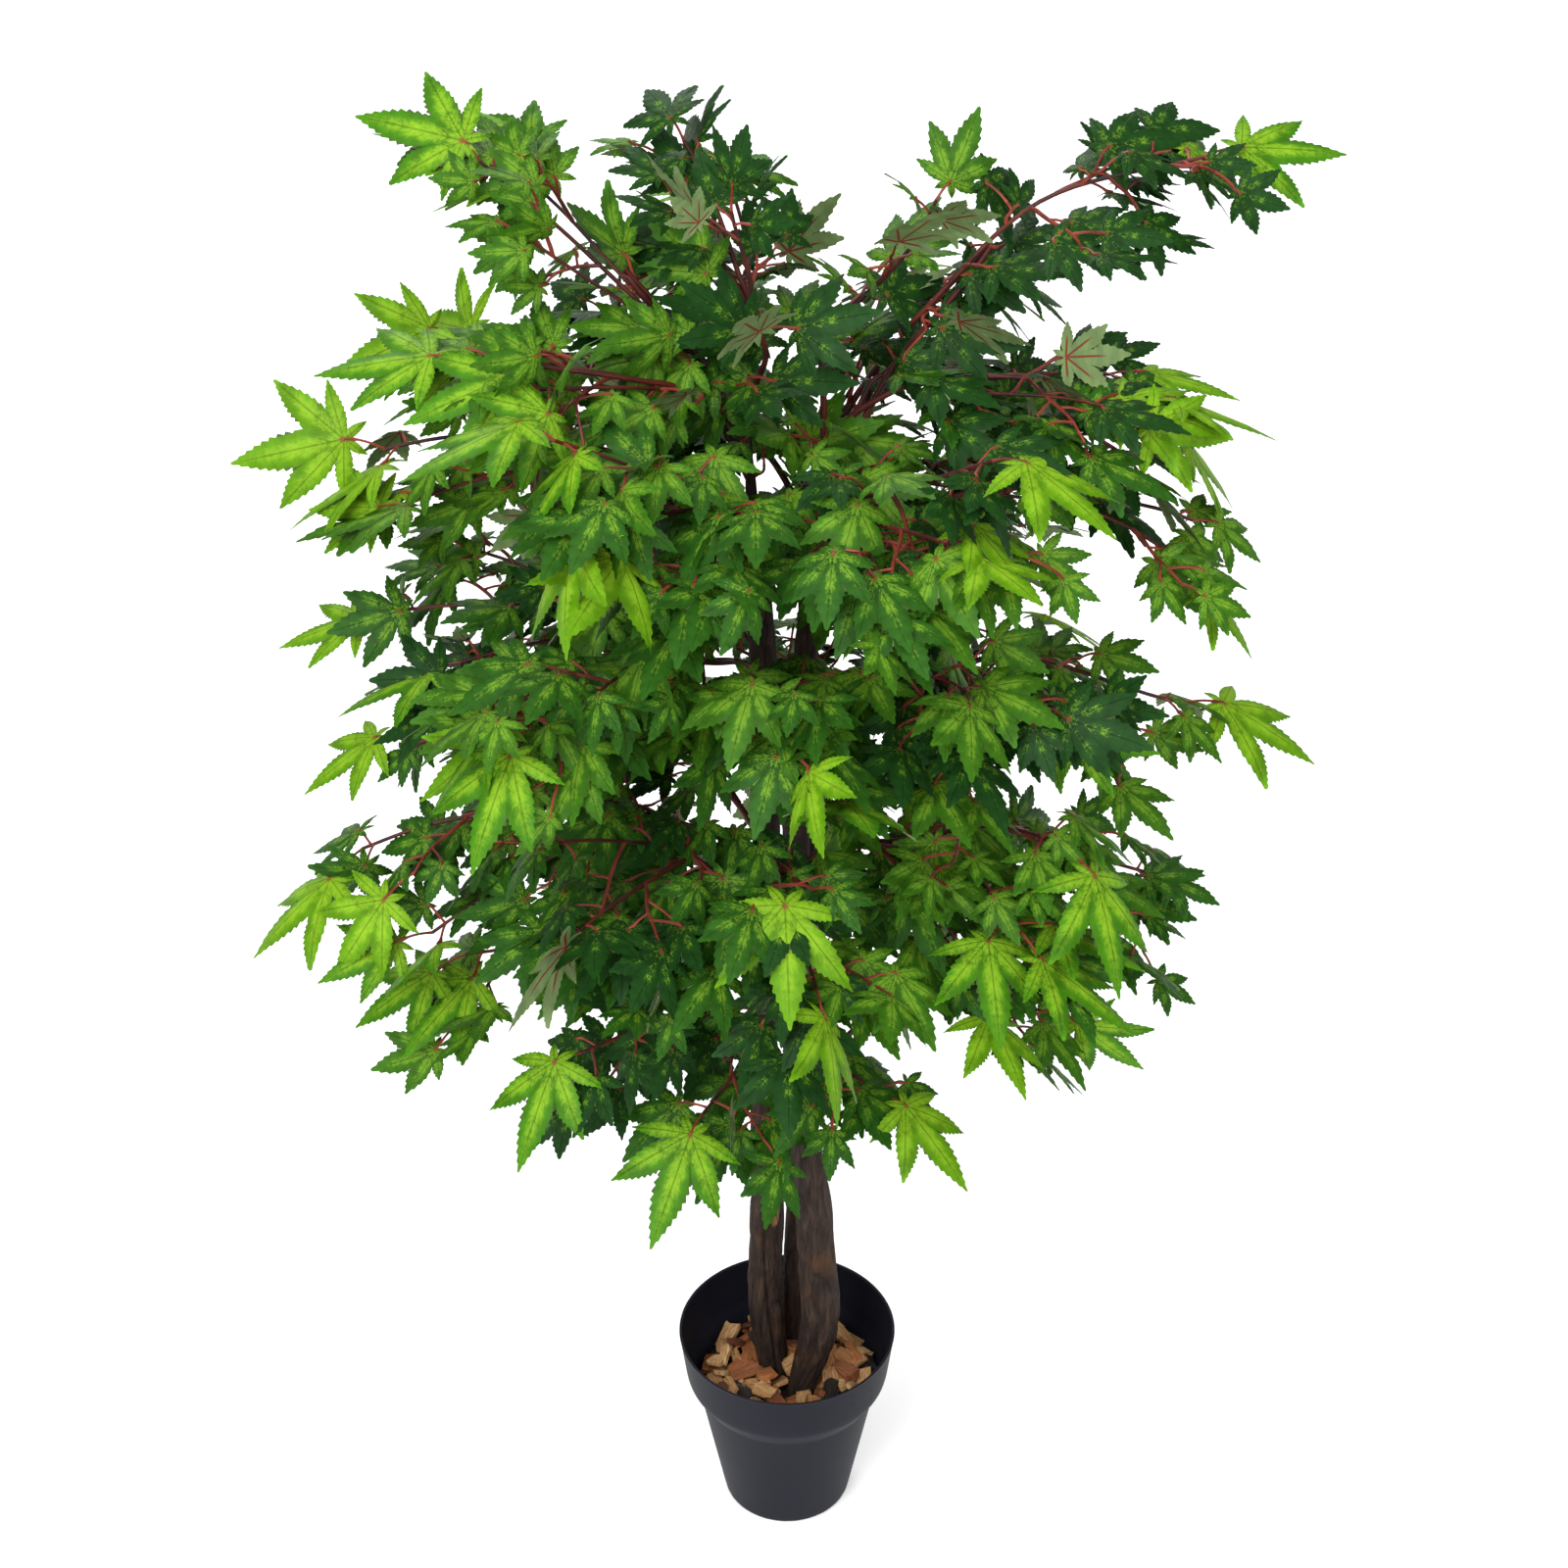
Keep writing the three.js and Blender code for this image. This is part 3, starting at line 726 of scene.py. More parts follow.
class Backbone:
    """The middle line of a long lump of points: against the share t of its chord, the parabola for x, y
    and z that lies nearest all the points, bent so that it ends on the chord's outer end."""

    def __init__(self, points, inner, outer):
        chord = outer - inner
        share = np.clip((points - inner) @ chord / (chord @ chord), 0.0, 1.0)
        powers = np.stack([np.ones_like(share), share, share**2], axis=1)
        self.rule = np.linalg.lstsq(powers, points, rcond=None)[0]
        self.miss = outer - self.rule.sum(axis=0)

    def at(self, share):
        """The points at shares of the way; what the line misses its outer end by grows in as t^3."""
        share = np.atleast_1d(share)[:, None]
        return self.rule[0] + self.rule[1] * share + self.rule[2] * share**2 + self.miss * share**3


def stem_line(name):
    """The heights, middles and radii of a stem's level rings."""
    points = node_points(name)
    levels, which = np.unique(np.round(points[:, 2], 4), return_inverse=True)
    count = np.bincount(which)
    middle = np.stack([np.bincount(which, points[:, axis]) / count for axis in range(3)], axis=1)
    radius = np.bincount(which, np.linalg.norm(points[:, :2] - middle[which, :2], axis=1)) / count
    full = radius > 1.0 * MM
    return levels[full], middle[full], radius[full]


def stem_middle(line, height):
    """The middle of a stem at a height."""
    levels, middle, _ = line
    return np.array([np.interp(height, levels, middle[:, axis]) for axis in range(3)])


def crown_plan():
    """Grows the crown once and keeps it. Each mass has a spray: a bough from its stem along the mass's
    middle line, side twigs turned by the golden angle, and leaves on stalks, alternate and at the tips."""
    if "plan" not in GROWN:
        GROWN["plan"] = Crown().grow()
    return GROWN["plan"]


GROWN = {}

# What the leaves of one bough share: the number of their mass, the tones of its small and large leaves, how
# far they stand up, from 0 to 1, and how readily large ones come.
Marks = collections.namedtuple("Marks", "mass tone bright stand glow")


def has_word(name, words):
    """Whether the name holds one of the words."""
    return any(word in name for word in words)


class Crown:
    """The lines, radii and leaf places of all sprays."""

    def __init__(self):
        self.size = bpy.context.scene.maple_crown
        self.rng = np.random.default_rng(self.size.seed)
        self.boughs = []
        self.twigs = []
        self.stalks = []
        self.leaves = []
        self.stems = {name: stem_line(name) for name in STEM_NODES}

    def grow(self):
        """Every mass's spray, then the leaves round each stem's top."""
        for mass, name in enumerate(MASS_NODES):
            self.spray(mass, name)
        for name in STEM_NODES:
            self.leader(name)
        return self

    def leader(self, name):
        """The leaves round a stem's top: short twigs turned by the golden angle and a leafy tip."""
        stem = self.stems[name]
        top = stem_middle(stem, stem[0][-1])
        nearest = min(MASS_NODES, key=lambda node: np.linalg.norm(node_points(node).mean(axis=0) - top))
        hull = node_tree(nearest)
        along = unit(UP + 0.3 * FRONT)
        tone = int(self.rng.choice(SMALL_TONES))
        marks = Marks(MASS_NODES.index(nearest), tone, LARGE_TONES[0], stand=0.0, glow=0.0)
        leafy = 120 * MM
        for number, share in enumerate(np.linspace(0.0, 1.0, 8)):
            foot = stem_middle(stem, top[2] - (1.0 - share) * leafy)
            self.twig(foot, along, GOLDEN * number, share, hull, marks)
        self.tip(top, along, hull, marks)

    def start_of(self, name, inner):
        """The line that brings a bough from the middle of its stem into its mass."""
        bough = name.replace("foliage_", "bough_")
        if bough in BOUGH_NODES:
            points = node_points(bough)
            far = points[np.argmax(np.linalg.norm(points[:, :2], axis=1))]
            near = points[np.argmax(np.linalg.norm(points - far, axis=1))]
            line = Backbone(points, near, far)
            foot = line.at([0.0])[0]
            stem = min(self.stems.values(), key=lambda s: np.linalg.norm(stem_middle(s, foot[2]) - foot))
            return [stem_middle(stem, foot[2] - 10 * MM), *line.at([0.2, 0.55, 0.95])]
        stem = min(self.stems.values(), key=lambda s: np.linalg.norm((stem_middle(s, inner[2]) - inner)[:2]))
        height = min(inner[2] - 55 * MM, stem[0][-1] - 15 * MM)
        foot = stem_middle(stem, height)
        return [foot, foot + (inner - foot) * (0.45, 0.45, 0.62)]

    def spray(self, mass, name):
        """The boughs of one mass: one along its middle line and, unless it is sparse, one on each side that
        forks from it and swings out to half of the mass's width."""
        rng = self.rng
        points = node_points(name)
        reach = np.linalg.norm(points - (0.0, 0.0, points[:, 2].min()), axis=1)
        outer = points[np.argmax(reach)]
        inner = points[np.argmax(np.linalg.norm(points - outer, axis=1))]
        middle = Backbone(points, inner, outer)
        hull = node_tree(name)
        across = unit(np.cross(UP, outer - inner))
        width = np.percentile(np.abs((points - middle.at([0.5])) @ across), 80)
        length = np.linalg.norm(np.diff(middle.at(np.linspace(0, 1, 20)), axis=0), axis=1).sum()
        last = max(1.0 - self.spare_of(name) / length, 0.62)
        begin = self.start_of(name, middle.at([0.1])[0])
        thin = has_word(name, SPARSE)
        gap = 0.62 if "right_sweep" in name else 1.2 if thin else 1.05
        hand = rng.choice([-1.0, 1.0])
        for swing in (0.0,) if thin else (0.0, -1.0, 1.0):
            end = last if swing == 0.0 else last * rng.uniform(0.78, 0.95)
            share = np.linspace(0.14, end, 6)
            side = swing * rng.uniform(0.42, 0.62) * width * ease(share, 0.0, 0.75)
            rise = self.rise_of(name, swing * hand) * ease(share, 0.05, 0.85)
            inside = middle.at(share) + side[:, None] * across + rise[:, None] * UP
            start = begin if swing == 0.0 else [*begin[-1:], middle.at([0.06])[0]]
            thick = 1.0 if swing == 0.0 else 0.72
            self.bough(start, inside, hull, self.marks_of(mass, name), thick, gap)

    def marks_of(self, mass, name):
        """The marks of one bough's leaves; glowing sprays on the left have the lightest small leaves."""
        tone = int(self.rng.choice(SMALL_TONES, p=[0.30, 0.40, 0.30]))
        if name in GLOWING and "left" in name:
            tone = SMALL_TONES[-1]
        bright = int(self.rng.choice(LARGE_TONES))
        if has_word(name, STANDING):
            return Marks(mass, tone, bright, stand=1.0, glow=0.15)
        return Marks(mass, tone, bright, stand=0.0, glow=1.35 if name in GLOWING else 0.9)

    def spare_of(self, name):
        """How far before its mass's tip a bough ends, so that its last leaves end near that tip."""
        if name.startswith(REACHING):
            return self.size.large_leaf - 10 * MM
        if name.endswith("sweep") or has_word(name, STANDING):
            return self.size.large_leaf + 6 * MM
        return self.size.large_leaf + (46 if "right" in name else 36) * MM

    def rise_of(self, name, hand):
        """How far a bough climbs from its mass's middle line: one side bough up, the other down, so that
        the tiers run into each other; the lowest tier only climbs, and the top keeps its line."""
        if name.startswith("foliage_top"):
            return self.rng.uniform(-8, 8) * MM
        if name.startswith("foliage_low"):
            return self.rng.uniform(0, 64) * MM
        fall = -56 if name.startswith("foliage_mid") else -34
        return (self.rng.uniform(-22, 22) + (58 if hand > 0 else fall) * abs(hand)) * MM

    def bough(self, begin, inside, hull, marks, thick, gap):
        """One wavy bough through the points, with a side twig at each node and leaves at its end."""
        rng = self.rng
        size = self.size
        line = flow([*begin, *inside], 44)
        run = np.concatenate([[0.0], np.cumsum(np.linalg.norm(np.diff(line, axis=0), axis=1))])
        wave = 3.2 * MM * np.sin(run / (24 * MM) + rng.uniform(0, 6.3)) * ease(run, 0.0, 60 * MM)
        across = unit(np.cross(UP, np.gradient(line, axis=0)))
        line = line + wave[:, None] * (across + 0.5 * UP)
        radius = thick * (size.bough_foot + (size.bough_tip - size.bough_foot) * (run / run[-1]) ** 0.8)
        self.boughs.append((line, np.maximum(radius, size.bough_tip)))
        enter = run[np.argmin(np.linalg.norm(line - inside[0], axis=1))] - 16 * MM
        places = np.arange(enter, run[-1] - 10 * MM, size.node_gap * gap)
        phase = rng.uniform(0, 6.3)
        ahead = unit(np.gradient(line, axis=0))
        for number, place in enumerate(places):
            foot = np.array([np.interp(place, run, line[:, axis]) for axis in range(3)])
            along = unit(np.array([np.interp(place, run, ahead[:, axis]) for axis in range(3)]))
            share = (place - enter) / max(run[-1] - enter, 1e-3)
            if gap > 1.0 and rng.random() < 0.40 * share:
                continue
            self.twig(foot, along, phase + GOLDEN * number, share, hull, marks)
        self.tip(line[-1], ahead[-1], hull, marks)

    def twig(self, foot, along, turn, share, hull, marks):
        """A side twig: it leans forward by 64 to 40 degrees, is as long as its mass leaves room for, sags a
        little and waves."""
        rng = self.rng
        size = self.size
        across = unit(np.cross(UP, along))
        over = np.cross(along, across)
        out = unit(math.cos(turn) * across + (0.85 if math.sin(turn) > 0 else 0.6) * math.sin(turn) * over)
        lean = math.radians(64 - 24 * share + rng.normal(0, 8))
        heading = unit(math.cos(lean) * along + math.sin(lean) * out)
        hit = hull.ray_cast(Vector(foot), Vector(heading), 0.5)
        room = hit[3] if hit[3] is not None else 50 * MM
        length = float(np.clip(room - 34 * MM, 14 * MM, size.twig_most)) * rng.uniform(0.85, 1.15)
        t = np.linspace(0, 1, 9)[:, None]
        wave = np.sin(t * rng.uniform(5, 8) + rng.uniform(0, 6.3)) * 2.2 * MM * np.sqrt(t)
        line = foot + heading * length * t - UP * (0.16 * length) * t**2 + wave * unit(np.cross(heading, UP))
        foot_radius = 1.6 * MM
        self.twigs.append((line, foot_radius + (1.0 * MM - foot_radius) * t[:, 0]))
        self.dress(line, share, hull, marks)

    def dress(self, line, share, hull, marks):
        """Leaves along a twig, left and right in turn, and one at its end."""
        rng = self.rng
        length = np.linalg.norm(line[-1] - line[0])
        heading = unit(line[-1] - line[-3])
        count = 1 + int(length / (16.5 * MM) + 0.3)
        stations = np.linspace(0.35 if count > 2 else 0.5, 1.0, count)
        side = unit(np.cross(heading, UP))
        hand = rng.choice([-1.0, 1.0])
        for number, station in enumerate(stations):
            spot = line[int(round(station * (len(line) - 1)))]
            end = number == count - 1
            swing = 0.0 if end else hand * (1.0 if number % 2 else -1.0)
            away = heading * (1.0 if end else 0.55) + side * swing
            large = end and share > 0.5 and rng.random() < 0.04
            self.leaf(spot, away, large, hull, marks)

    def tip(self, spot, heading, hull, marks):
        """The end of a bough: a leaf straight on, often a large one, and one on each side, rarely large."""
        rng = self.rng
        side = unit(np.cross(heading, UP))
        self.leaf(spot, heading, rng.random() < 0.66 * marks.glow, hull, marks)
        for hand in (-1.0, 1.0):
            away = 0.45 * heading + hand * side
            before = spot - heading * rng.uniform(6, 16) * MM
            self.leaf(before, away, rng.random() < 0.12 * marks.glow**3, hull, marks)

    def leaf(self, spot, away, large, hull, marks):
        """A stalk from the spot and a leaf at its end. Of five tries, the one that stays best inside its
        mass is kept."""
        rng = self.rng
        size = self.size
        full, least, most = (size.large_leaf, 0.74, 1.06) if large else (size.small_leaf, 0.66, 1.34)
        full = full * rng.uniform(least, most)
        stalk = size.stalk * (1.25 if large else 1.0) * rng.uniform(0.75, 1.3)
        best = None
        for _ in range(5):
            lead, heart, point = self.aim(spot, away, stalk, marks.stand)
            spill = max(self.spill(hull, heart + point * full * part) / part for part in (0.5, 1.0))
            if best is None or spill < best[0]:
                best = (spill, lead, heart, point)
            if spill < 4 * MM:
                break
        _, lead, heart, point = best
        face = self.face_of(heart, point)
        side = np.cross(point, face)
        self.leaves.append({
            "heart": heart, "axes": np.stack([side, point, face]), "size": full, "large": large,
            "mass": marks.mass, "tone": marks.bright if large else marks.tone,
            "cut": int(rng.integers(0, CUTS)),
        })
        t = np.linspace(0, 1, 7)[:, None]
        land = heart - point * 1.5 * MM - face * 1.2 * MM
        bend = spot + lead * 0.55 * stalk + UP * 0.08 * stalk
        line = (1 - t) ** 2 * spot + 2 * t * (1 - t) * bend + t**2 * land
        line[-1] = heart + face * 0.9 * MM
        radius = np.full(7, 0.9 * MM)
        radius[0] = 1.2 * MM
        radius[-2:] = (1.5 * MM, 0.9 * MM) if large else (1.2 * MM, 0.7 * MM)
        self.stalks.append((line, radius))

    def aim(self, spot, away, stalk, stand):
        """One try: the way the stalk leads, the leaf's heart at its end, and the way the blade points, which
        is on from the stalk, outward and down, and less far down high in the crown."""
        rng = self.rng
        lead = unit(away + UP * rng.uniform(-0.15, 0.45) + rng.normal(0, 0.16, 3))
        heart = spot + lead * stalk - UP * 0.12 * stalk
        outward, high = self.bearing(heart)
        droop = (1.0 - stand) * (0.52 - 0.34 * high) * rng.uniform(0.4, 1.6)
        ahead = (0.42 + 0.8 * stand) * lead + (0.80 - 0.55 * stand) * outward
        return lead, heart, unit(ahead - droop * UP + rng.normal(0, 0.26, 3))

    def face_of(self, heart, point):
        """The way a leaf's upper face looks: up, outward and a little to the front, square to its point."""
        outward, high = self.bearing(heart)
        flank = float(ease(-heart[0], 0.06, 0.20))
        face = 0.80 * UP + (0.36 + 0.2 * high) * outward + (0.15 + 0.45 * high * flank) * FRONT
        face = face + self.rng.normal(0, 0.40, 3)
        return unit(face - point * (face @ point))

    @staticmethod
    def bearing(heart):
        """The level way out from the tree's axis, and how high a place is, from 0 below the top tier to 1."""
        return unit(heart * (1.0, 1.0, 0.0)), float(ease(heart[2], 0.93, 1.06))

    @staticmethod
    def spill(hull, place):
        """How far a point stands outside its mass, 0 inside."""
        near, normal, _, far = hull.find_nearest(Vector(place))
        return far if (Vector(place) - near).dot(normal) > 0 else 0.0


# ---------------------------------------------------------------- operators


def colours():
    """The colour settings as plain tuples."""
    settings = bpy.context.scene.maple_colours
    names = MapleColourSettings.__annotations__
    return types.SimpleNamespace(**{name: tuple(getattr(settings, name)) for name in names})


class MAPLE_OT_pot(bpy.types.Operator):
    """Turn the pot's section round its axis: foot, tapered body, rounded shoulder, collar and lip"""

    bl_idname = "maple.pot"
    bl_label = "Pot"

    sides = 112

    def execute(self, context):
        size = context.scene.maple_pot
        rim, top = POT_HIGH.x, POT_HIGH.z
        lip = 0.8 * MM
        outer = [(size.foot - 9 * MM, 0.0), (size.foot - 0.9 * MM, 0.0), (size.foot + 0.5 * MM, 6 * MM),
                 (size.body_top, size.shoulder_foot),
                 (size.collar_foot - 1.2 * MM, size.shoulder_top - 6 * MM),
                 (size.collar_foot, size.shoulder_top), (rim - 0.3 * MM, top - 2 * MM), (rim, top - lip),
                 (rim - lip, top), (rim - size.wall + lip, top), (rim - size.wall, top - 2 * MM)]
        inner = [(size.collar_foot - size.wall, size.shoulder_top),
                 (size.body_top - size.wall, size.shoulder_foot - MM),
                 (size.foot - size.wall, size.floor), (size.foot - 20 * MM, size.floor)]
        rounding = np.array([4, 2.4, 1.5, 3.5, 3, 2, 0.6, 0.35, 0.35, 0.6, 3, 1.5, 1.0])[:, None] * MM
        section = self.rounded(np.array(outer + inner), rounding)
        angle = 2 * math.pi * np.arange(self.sides) / self.sides
        ring = np.stack([np.cos(angle), np.sin(angle), np.zeros_like(angle)], axis=1)
        rings = section[:, :1, None] * ring + section[:, 1:, None] * UP
        points, faces = skins(rings[None], np.zeros((1, 3)), UP[None] * size.floor)
        piece = build("pot_shell", points, faces, crease=50)
        settle(piece, pot_finish("pot_plastic", colours()), "pot", ["pot"])
        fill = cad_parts["pot_fill"]
        fill.data.materials.clear()
        fill.data.materials.append(plaster_finish("cast_fill"))
        return {"FINISHED"}

    def rounded(self, corners, reach):
        """The section with each inner corner replaced by a parabola that leaves its two sides at that
        corner's reach from it."""
        before = corners[1:-1] + unit(corners[:-2] - corners[1:-1]) * reach
        after = corners[1:-1] + unit(corners[2:] - corners[1:-1]) * reach
        t = np.linspace(0, 1, 5)[:, None, None]
        bends = (1 - t) ** 2 * before + 2 * t * (1 - t) * corners[1:-1] + t**2 * after
        return np.vstack([corners[:1], bends.transpose(1, 0, 2).reshape(-1, 2), corners[-1:]])


class MAPLE_OT_chips(bpy.types.Operator):
    """Lay split wood chips over a dark disc of painted shade, up to the pot's wall"""

    bl_idname = "maple.chips"
    bl_label = "Wood chips"

    count = 150
    layers = 3
    lowest = 112.5 * MM  # height of the middles of the lowest layer
    layer_gap = 6.8 * MM
    bed_depth = 5.5 * MM

    def execute(self, context):
        rng = np.random.default_rng(5)
        reach = CHIPS_HIGH.x - 3.0 * MM
        # A dark disc of painted shade under the chips.
        self.bed(reach + 2.4 * MM)
        radius, angle, middle = self.places(reach, rng)
        long = rng.uniform(7.5, 17, self.count) * MM
        wide = rng.uniform(3.6, 8, self.count) * MM
        thick = rng.uniform(2.2, 5.2, self.count) * MM
        axes = self.turns(angle, radius > reach - 17 * MM, rng)
        blocks = self.blocks(long, wide, thick, rng)
        keep = self.clear_of_stems(middle)
        tone = rng.random(self.count)[keep]
        rings = middle[:, None, None]
        for part, axis in zip(blocks, axes):
            rings = rings + part[..., None] * axis[:, None, None]
        rings = self.inside_pot(rings[keep], context.scene.maple_pot)
        points, faces = skins(rings, rings[:, 0].mean(axis=1), rings[:, -1].mean(axis=1))
        many = len(rings)
        grain = np.stack(blocks[:2], axis=-1)[keep].reshape(many, -1, 2)
        grain = np.concatenate([grain, np.zeros((many, 2, 2))], axis=1).reshape(-1, 2)
        piece = build("wood_chips_loose", points, faces, maps=[("grain", [grain[face] for face in faces])],
                      traits=[("tone", np.repeat(tone, len(points) // many))], crease=30)
        settle(piece, chip_finish("split_wood", colours()), "chips", ["wood_chips"])
        return {"FINISHED"}

    def places(self, reach, rng):
        """The chips' radii, angles and middles: a sunflower spiral, dealt out to layers that widen upward."""
        number = np.arange(self.count)
        radius = (reach - 5 * MM) * np.sqrt((number + 0.5) / self.count)
        angle = number * GOLDEN
        layer = rng.permutation(number % self.layers)
        radius = radius * (1.0 + 0.045 * layer)
        height = self.lowest + layer * self.layer_gap
        middle = np.stack([radius * np.cos(angle), radius * np.sin(angle), height], axis=1)
        middle[:, 2] += rng.normal(0, 0.8 * MM, self.count)
        return radius, angle, middle

    def turns(self, angle, edge, rng):
        """Each chip's long way, its wide way and its up, all tilted a little; those at the edge lie along
        the wall."""
        yaw = rng.uniform(0, 2 * math.pi, self.count)
        yaw = np.where(edge, angle + math.pi / 2 + rng.normal(0, 0.3, self.count), yaw)
        tilt = rng.normal(0, 0.46, (self.count, 2))
        along = unit(np.stack([np.cos(yaw), np.sin(yaw), tilt[:, 0]], axis=1))
        aside = np.stack([-np.sin(yaw), np.cos(yaw), 0.0 * yaw], axis=1)
        over = unit(UP + tilt[:, 1:] * aside)
        across = unit(np.cross(over, along))
        return along, across, np.cross(along, across)

    def blocks(self, long, wide, thick, rng):
        """How far each point of each chip stands out along its three ways. A chip has four rings of eight
        points on a rounded box, drawn in at both faces, each point moved a little at random."""
        turn = 2 * math.pi * (np.arange(8) + 0.5) / 8
        lump = rng.uniform(0.70, 1.15, (self.count, 8))
        box = np.stack([np.sign(np.cos(turn)) * np.abs(np.cos(turn)) ** 0.40,
                        np.sign(np.sin(turn)) * np.abs(np.sin(turn)) ** 0.45], axis=1)
        ring = lump[:, None, :, None] * box * np.array([0.90, 1.0, 0.98, 0.90])[None, :, None, None]
        ring = ring + rng.normal(0, 0.12, (self.count, 4, 1, 2))
        level = np.array([-0.5, -0.38, 0.36, 0.5])[None, :, None]
        rise = level + rng.normal(0, 0.11, (self.count, 4, 8))
        return (ring[..., 0] * long[:, None, None], ring[..., 1] * wide[:, None, None],
                rise * thick[:, None, None])

    def clear_of_stems(self, middle):
        """Which chips' middles stand clear of the stems, measured at the chips' height."""
        keep = np.ones(len(middle), bool)
        for name in STEM_NODES:
            line = stem_line(name)
            centre = stem_middle(line, 118 * MM)
            keep &= np.linalg.norm(middle[:, :2] - centre[:2], axis=1) > line[2][0] + 3 * MM
        return keep

    def inside_pot(self, rings, pot):
        """The rings with every point drawn in to 1 mm inside the pot's wall."""
        levels = pot.shoulder_foot, pot.shoulder_top
        wall = np.interp(rings[..., 2], levels, (pot.body_top, pot.collar_foot))
        room = (wall - pot.wall - MM) / np.linalg.norm(rings[..., :2], axis=-1)
        rings[..., :2] *= np.minimum(room, 1.0)[..., None]
        return rings

    def bed(self, reach):
        """A disc in rings, closed below, painted dark as the shade between the chips; its top is uneven by a
        few waves of angle and radius.
        """
        steps, sides = 16, 64
        angle = 2 * math.pi * np.arange(sides) / sides
        radius = reach * np.linspace(0.06, 1.0, steps)[:, None]
        bumps = 0.9 * MM * (np.sin(5 * angle + 90 * radius) + np.sin(9 * angle - 140 * radius))
        low, high = CHIPS_LOW.z + 0.2 * MM, CHIPS_LOW.z + self.bed_depth
        flat = radius[..., None] * np.stack([np.cos(angle), np.sin(angle)], axis=1)
        upper = np.concatenate([flat, (high + bumps)[..., None]], axis=-1)[::-1]
        lower = np.concatenate([flat, np.full((steps, sides, 1), low)], axis=-1)
        points, faces = skins(np.concatenate([lower, upper])[None], low * UP[None], high * UP[None])
        piece = build("chip_bed", points, faces)
        settle(piece, gap_shade_finish("dark_crumbs", colours()), "chips", ["wood_chips"])


def lattice(rng, around, levels, turn, level):
    """Smooth noise over a cylinder: random numbers on a lattice that closes round it, eased between."""
    table = rng.random((around, levels + 2))
    turn = (turn / (2 * math.pi) * around) % around
    column = np.floor(turn).astype(int)
    row = np.clip(np.floor(level).astype(int), 0, levels)
    a = ease(turn - column, 0.0, 1.0)
    b = ease(level - row, 0.0, 1.0)
    after = (column + 1) % around
    low = table[column % around, row] * (1 - a) + table[after, row] * a
    high = table[column % around, row + 1] * (1 - a) + table[after, row + 1] * a
    return low * (1 - b) + high * b


